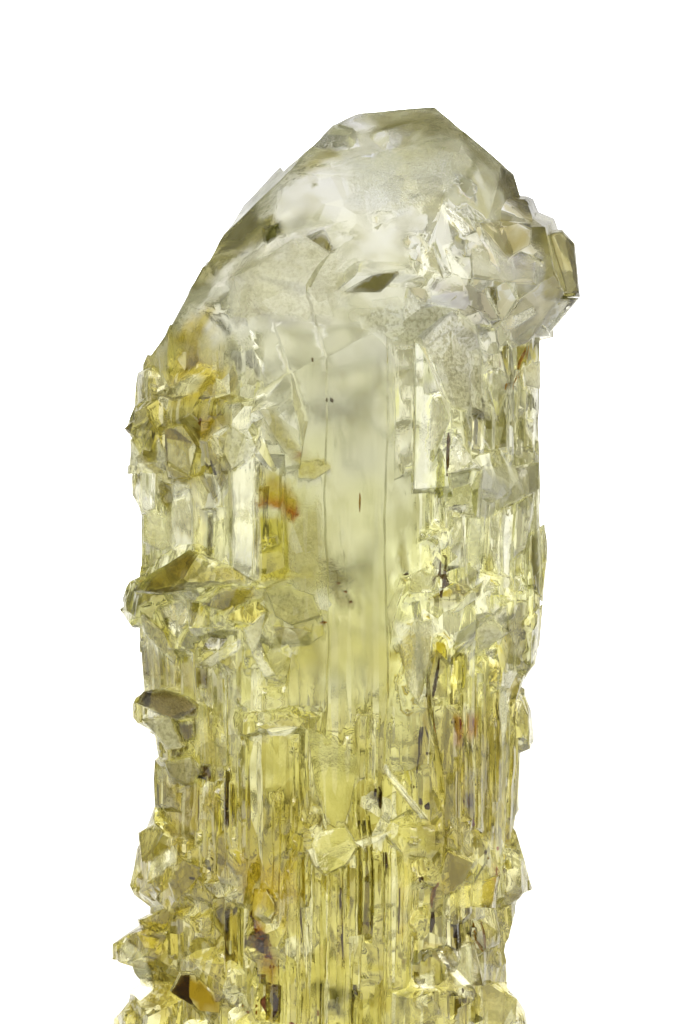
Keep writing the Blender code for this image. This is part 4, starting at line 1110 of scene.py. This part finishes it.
crystal.data.materials.clear()
crystal.data.materials.append(heliodor)
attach(crystal, "root")
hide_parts("heliodor_crystal")
print("OK crystal triangles", sum(len(p.vertices) - 2 for p in crystal.data.polygons))

# Inclusions: iron-stained needles, tubes and grains that the crystal grew round. They lie inside
# it, a little behind the faces that they show through.

THREAD_SIDES = 6

# Needles and tubes: what they are made of, their two ends across and up, width, how deep they lie
THREADS = [
    ("dark needle", "dark", (6.24, 33.12), (6, 30.6), 0.42, 0.5),
    ("needle in the bright prisms", "dark", (6.42, 40.44), (6.36, 37.86), 0.21, 0.35),
    ("tube", "dark", (2.76, 15.78), (2.76, 14.34), 0.27, 0.4),
    ("tube, right", "dark", (5.58, 12.24), (5.46, 11.04), 0.3, 0.4),
    ("slot line, upper", "dark", (5.94, 27.36), (4.98, 23.28), 0.21, 0.5),
    ("slot line, lower", "dark", (4.92, 23.16), (4.62, 20.4), 0.18, 0.5),
    ("hair", "rust", (1.26, 36.84), (1.26, 35.76), 0.12, 0.4),
    ("olive thread", "rust", (11.34, 45.72), (10.32, 43.44), 0.21, 0.5),
    ("rust thread", "rust", (8.16, 11.34), (8.64, 9.66), 0.24, 0.5),
    ("rust thread, left", "rust", (5.64, 14.04), (5.46, 12.48), 0.24, 0.5),
    ("rust trail", "rust", (-4.8, 11.58), (-3.96, 9.6), 0.36, 0.5),
    ("magenta thread", "rose", (9.36, 15), (9.12, 12.6), 0.15, 0.4),
    ("tube in the shelf", "dark", (2.28, 19.5), (2.4, 18.36), 0.36, 0.5),
    ("low hair A", "dark", (0.12, 13.68), (0.3, 9.48), 0.15, 0.7),
    ("low hair B", "dark", (-2.28, 13.68), (-2.1, 10.68), 0.12, 0.7),
    ("low hair C", "dark", (3.6, 13.68), (3.54, 10.98), 0.12, 0.6),
    ("left low hair", "dark", (-8.1, 19.2), (-7.98, 16.68), 0.12, 0.6),
]

# Grains and flakes: what they are made of, across, up, width, height, how deep they lie
GRAINS = [
    ("brown grain", "brown", -3.96, 6.72, 1.38, 1.68, 0.5),
    ("red chip", "red", -2.76, 5.52, 0.42, 0.84, 0.3),
    ("purple grain", "plum", 7.86, 17.4, 0.54, 0.54, 0.4),
    ("dark grain", "plum", 6.9, 10.98, 0.3, 0.78, 0.4),
    ("dark grain, left", "dark", 1.74, 11.58, 0.3, 0.42, 0.4),
    ("dark grain, low", "dark", 6.3, 10.26, 0.36, 0.48, 0.4),
    ("speck", "dark", 6.72, 25.26, 0.24, 0.24, 0.4),
    ("speck", "dark", 6.78, 23.4, 0.24, 0.24, 0.4),
    ("speck", "dark", 5.22, 21.6, 0.24, 0.24, 0.4),
    ("speck", "dark", 4.56, 19.62, 0.24, 0.24, 0.4),
    ("speck", "dark", 4.86, 18.72, 0.3, 0.48, 0.4),
    ("speck", "dark", 5.22, 18.48, 0.42, 0.54, 0.4),
    ("speck", "dark", 7.56, 18.66, 0.36, 0.9, 0.4),
    ("speck", "dark", 8.04, 18.66, 0.3, 0.72, 0.4),
    ("speck", "dark", 8.34, 16.74, 0.24, 0.3, 0.4),
    ("speck", "dark", 8.52, 16.14, 0.24, 0.36, 0.4),
    ("speck", "dark", 8.64, 15.66, 0.3, 0.3, 0.4),
    ("speck", "dark", 8.82, 15.3, 0.24, 0.18, 0.4),
    ("speck", "dark", 5.28, 14.7, 0.18, 0.18, 0.4),
    ("speck", "dark", 4.92, 14.22, 0.24, 0.24, 0.4),
    ("speck", "dark", 4.98, 13.74, 0.18, 0.18, 0.4),
    ("speck", "dark", 8.22, 19.62, 0.18, 0.12, 0.4),
    ("speck", "dark", 8.52, 19.5, 0.12, 0.12, 0.4),
    ("speck", "dark", 10.08, 18.48, 0.18, 0.3, 0.4),
    ("speck", "dark", 9.9, 17.82, 0.24, 0.3, 0.4),
    ("speck", "dark", 10.26, 17.4, 0.18, 0.18, 0.4),
    ("speck", "dark", 9.84, 14.4, 0.18, 0.3, 0.4),
    ("speck", "dark", 7.26, 7.62, 0.18, 0.3, 0.3),
    ("speck", "dark", -8.64, 14.1, 0.54, 0.24, 0.3),
    ("speck", "dark", -6.6, 15.12, 0.24, 0.42, 0.4),
    ("speck", "dark", 3.96, 32.1, 0.42, 0.24, 0.4),
    ("speck", "dark", -0.36, 42.36, 0.36, 0.36, 0.5),
    ("speck", "dark", -1.5, 44.64, 0.18, 0.3, 0.5),
    ("speck", "dark", 6.18, 33.12, 0.3, 0.24, 0.4),
    ("speck", "dark", 8.94, 8.28, 0.18, 0.42, 0.4),
    ("rust flake", "rust", -7.98, 41.1, 0.54, 0.54, 0.4),
    ("rust flake", "rust", 9.96, 43.2, 0.36, 0.54, 0.4),
    ("rust flake", "rust", -0.9, 29.28, 0.6, 0.18, 0.3),
    ("rust flake", "rust", -1.2, 6.3, 0.18, 0.48, 0.3),
    ("rust flake", "rust", -5.52, 6.66, 0.36, 0.3, 0.3),
    ("rust flake", "rust", -5.22, 6.3, 0.3, 0.3, 0.3),
    ("rust flake", "rust", -4.8, 11.22, 0.42, 0.3, 0.3),
    ("rust flake", "rust", -4.5, 10.68, 0.42, 0.3, 0.3),
    ("rust flake", "rust", -4.2, 9.72, 0.36, 0.3, 0.3),
    ("rust flake", "rust", -3.9, 9.06, 0.3, 0.36, 0.4),
    ("rust flake", "rust", 0.42, 31.08, 0.3, 0.18, 0.4),
    ("rust flake", "rust", 0.72, 30.48, 0.3, 0.18, 0.4),
    ("rust flake", "rust", 0, 31.56, 0.24, 0.18, 0.4),
    ("red flake", "red", 7.14, 23.22, 0.36, 0.78, 0.3),
    ("red flake", "red", 7.14, 22.44, 0.3, 0.6, 0.35),
    ("red flake", "red", 7.92, 23.28, 0.3, 0.72, 0.3),
    ("red flake", "red", 9.42, 15.72, 0.36, 0.3, 0.3),
]

etched_surface = crystal_surface(crystal)


def depth_behind(x, z, depth):
    """The y of a point that lies a depth behind the crystal's front surface."""
    inwards = 1.0
    found = None
    while found is None:
        found = seen_point(etched_surface, x * inwards, z)
        inwards -= 0.02
    return found[0].y + depth


def add_thread(shape, rng, start_at, end_at, width, depth):
    """A six-sided needle that tapers and wanders a little."""
    rings = []
    count = max(4, int((Vector(start_at) - Vector(end_at)).length / 0.35))
    level = max(
        depth_behind(*(Vector(start_at).lerp(Vector(end_at), share)), depth) for share in (0.1, 0.5, 0.9)
    )
    for number in range(count + 1):
        share = number / count
        x, z = Vector(start_at).lerp(Vector(end_at), share)
        swell = 0.35 + 0.65 * math.sin(math.pi * min(1.0, share * 0.9 + 0.1)) * rng.uniform(0.85, 1.15)
        shift = rng.uniform(-0.12, 0.12) * width
        ring = []
        for side in range(THREAD_SIDES):
            angle = 2 * math.pi * side / THREAD_SIDES
            spot = Vector((
                x + shift + math.cos(angle) * width / 2 * swell,
                level + math.sin(angle) * width / 2 * swell,
                z,
            ))
            ring.append(shape.verts.new(spot))
        rings.append(ring)
    for ring, after in zip(rings, rings[1:]):
        for side in range(THREAD_SIDES):
            beside = (side + 1) % THREAD_SIDES
            shape.faces.new((ring[side], ring[beside], after[beside], after[side]))
    shape.faces.new(rings[0])
    shape.faces.new(rings[-1])


def add_grain(shape, rng, x, z, width, height, depth):
    """An angular grain: the hull of a few points scattered in its box."""
    thick = min(width, height) * 0.5
    y = depth_behind(x, z, depth) + thick / 2
    corners = []
    for _ in range(14):
        way = Vector((rng.gauss(0, 1), rng.gauss(0, 1), rng.gauss(0, 1))).normalized()
        spot = (x + way.x * width / 2, y + way.y * thick / 2, z + way.z * height / 2)
        corners.append(shape.verts.new(spot))
    made = bmesh.ops.convex_hull(shape, input=corners)
    spare = {item for item in made["geom_interior"] + made["geom_unused"] if item.is_valid}
    spare = [item for item in spare if isinstance(item, bmesh.types.BMVert)]
    bmesh.ops.delete(shape, geom=spare, context="VERTS")


# What each kind is made of: the two colours that its grain runs between, and its roughness
MINERALS = {
    "dark": ((0.07, 0.035, 0.008, 1), (0.20, 0.115, 0.025, 1), 0.6),
    "brown": ((0.10, 0.032, 0.012, 1), (0.26, 0.10, 0.04, 1), 0.4),
    "plum": ((0.08, 0.045, 0.05, 1), (0.22, 0.14, 0.15, 1), 0.5),
    "rust": ((0.50, 0.20, 0.02, 1), (0.85, 0.50, 0.12, 1), 0.8),
    "red": ((0.55, 0.10, 0.03, 1), (0.85, 0.30, 0.12, 1), 0.7),
    "rose": ((0.75, 0.30, 0.30, 1), (0.90, 0.50, 0.48, 1), 0.7),
}

rng = random.Random(23)
for mineral, (deep, light, roughness) in MINERALS.items():
    shape = bmesh.new()
    for _, kind, start_at, end_at, width, depth in THREADS:
        if kind == mineral:
            add_thread(shape, rng, start_at, end_at, width, depth)
    for _, kind, x_at, z_at, width, height, depth in GRAINS:
        if kind == mineral:
            add_grain(shape, rng, x_at, z_at, width, height, depth)
    inclusions = new_piece(mineral + "_inclusions", shape)
    material, tree, shader, start = new_material(mineral + " inclusions")
    place = start.of(start.node("ShaderNodeTexCoord"), "Object")
    colour = start.node(
        "ShaderNodeValToRGB", {"stops": [(0.35, deep), (0.65, light)]}, Fac=noise(place, 3000.0, 4.0, 0.7)
    )
    tree.links.new(colour.outputs["Color"], shader.inputs["Base Color"])
    shader.inputs["Roughness"].default_value = roughness
    shader.inputs["Specular IOR Level"].default_value = 0.15
    inclusions.data.materials.append(material)
    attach(inclusions, "root")

# The table: a plain pale surface, which the crystal stands on by its cut foot.

TABLE_SIZE = 3.0
table_shape = bmesh.new()
bmesh.ops.create_grid(table_shape, x_segments=1, y_segments=1, size=TABLE_SIZE / 2 / MM)
table = new_piece("table", table_shape)
table_white, tree, matt, start = new_material("white table")
matt.inputs["Base Color"].default_value = (0.9, 0.9, 0.9, 1)
matt.inputs["Roughness"].default_value = 0.6
matt.inputs["Emission Color"].default_value = (1, 1, 1, 1)
matt.inputs["Emission Strength"].default_value = 0.75
table.data.materials.append(table_white)

# The light: a bright white backdrop behind the crystal, and a dimmer room on the camera's side.

world = bpy.data.worlds.new("studio")
bpy.context.scene.world = world
world.use_nodes = True
tree = world.node_tree
background = tree.nodes["Background"]
start = Socket(tree, None)
direction = start.node("ShaderNodeTexCoord")
seen = start.node("ShaderNodeLightPath")
camera_sees = start.of(seen, "Is Camera Ray")


def lit_patch(aim, edge_deg, soft_deg):
    """1 within an angle of a direction, falling to 0 over a soft edge."""
    aim = aim.normalized()
    made = start.node(
        "ShaderNodeVectorMath", {"operation": "DOT_PRODUCT"},
        i0=start.of(direction, "Generated"), i1=tuple(aim),
    )
    outer, inner = math.cos(math.radians(edge_deg + soft_deg)), math.cos(math.radians(edge_deg))
    return Socket(tree, made.outputs["Value"]).between(outer, inner)


backdrop = lit_patch(Vector((0, 1, 0.05)), 26, 10)
left_box = lit_patch(Vector((-1.0, -0.25, 0.35)), 30, 8)
right_box = lit_patch(Vector((1.0, 0.0, 0.35)), 28, 8)
top_box = lit_patch(Vector((0.1, -0.2, 1.0)), 30, 8)
left_flash = lit_patch(Vector((-0.6, -0.7, 0.5)), 8, 2)
right_flash = lit_patch(Vector((0.7, -0.5, 0.4)), 8, 2)
strength = 0.03 + backdrop * 0.95 + camera_sees * 2.0 + left_flash * 8.0 + right_flash * 6.0
background.inputs["Color"].default_value = (1, 1, 1, 1)
tree.links.new(strength.output, background.inputs["Strength"])
boxes = left_box * 1.4 + right_box * 1.2 + top_box * 1.2
soft_light = start.node("ShaderNodeBackground", None, Color=(1.0, 0.955, 0.74, 1), Strength=boxes + 0.145)
room = soft_light
both = start.node(
    "ShaderNodeAddShader", None, i0=start.of(background, 0), i1=start.of(room, 0)
)
tree.links.new(both.outputs[0], tree.nodes["World Output"].inputs["Surface"])

# The camera: level with the crystal's middle, far enough off for the flat view of a long lens.

CAMERA_DISTANCE = 0.45
PHOTO_HEIGHT = 0.06144
camera_data = bpy.data.cameras.new("camera")
camera_data.sensor_fit = "VERTICAL"
camera_data.sensor_height = 36.0
camera_data.lens = 36.0 * CAMERA_DISTANCE / PHOTO_HEIGHT
camera_data.clip_start = 0.01
camera = bpy.data.objects.new("camera", camera_data)
camera.location = (0.00003, -CAMERA_DISTANCE, 0.03576)
camera.rotation_euler = (math.radians(90), 0, 0)
bpy.context.scene.collection.objects.link(camera)
bpy.context.scene.camera = camera
bpy.context.scene.view_settings.view_transform = "Standard"
bpy.context.scene.cycles.max_bounces = 9
bpy.context.scene.cycles.transmission_bounces = 9
bpy.context.scene.cycles.transparent_max_bounces = 16
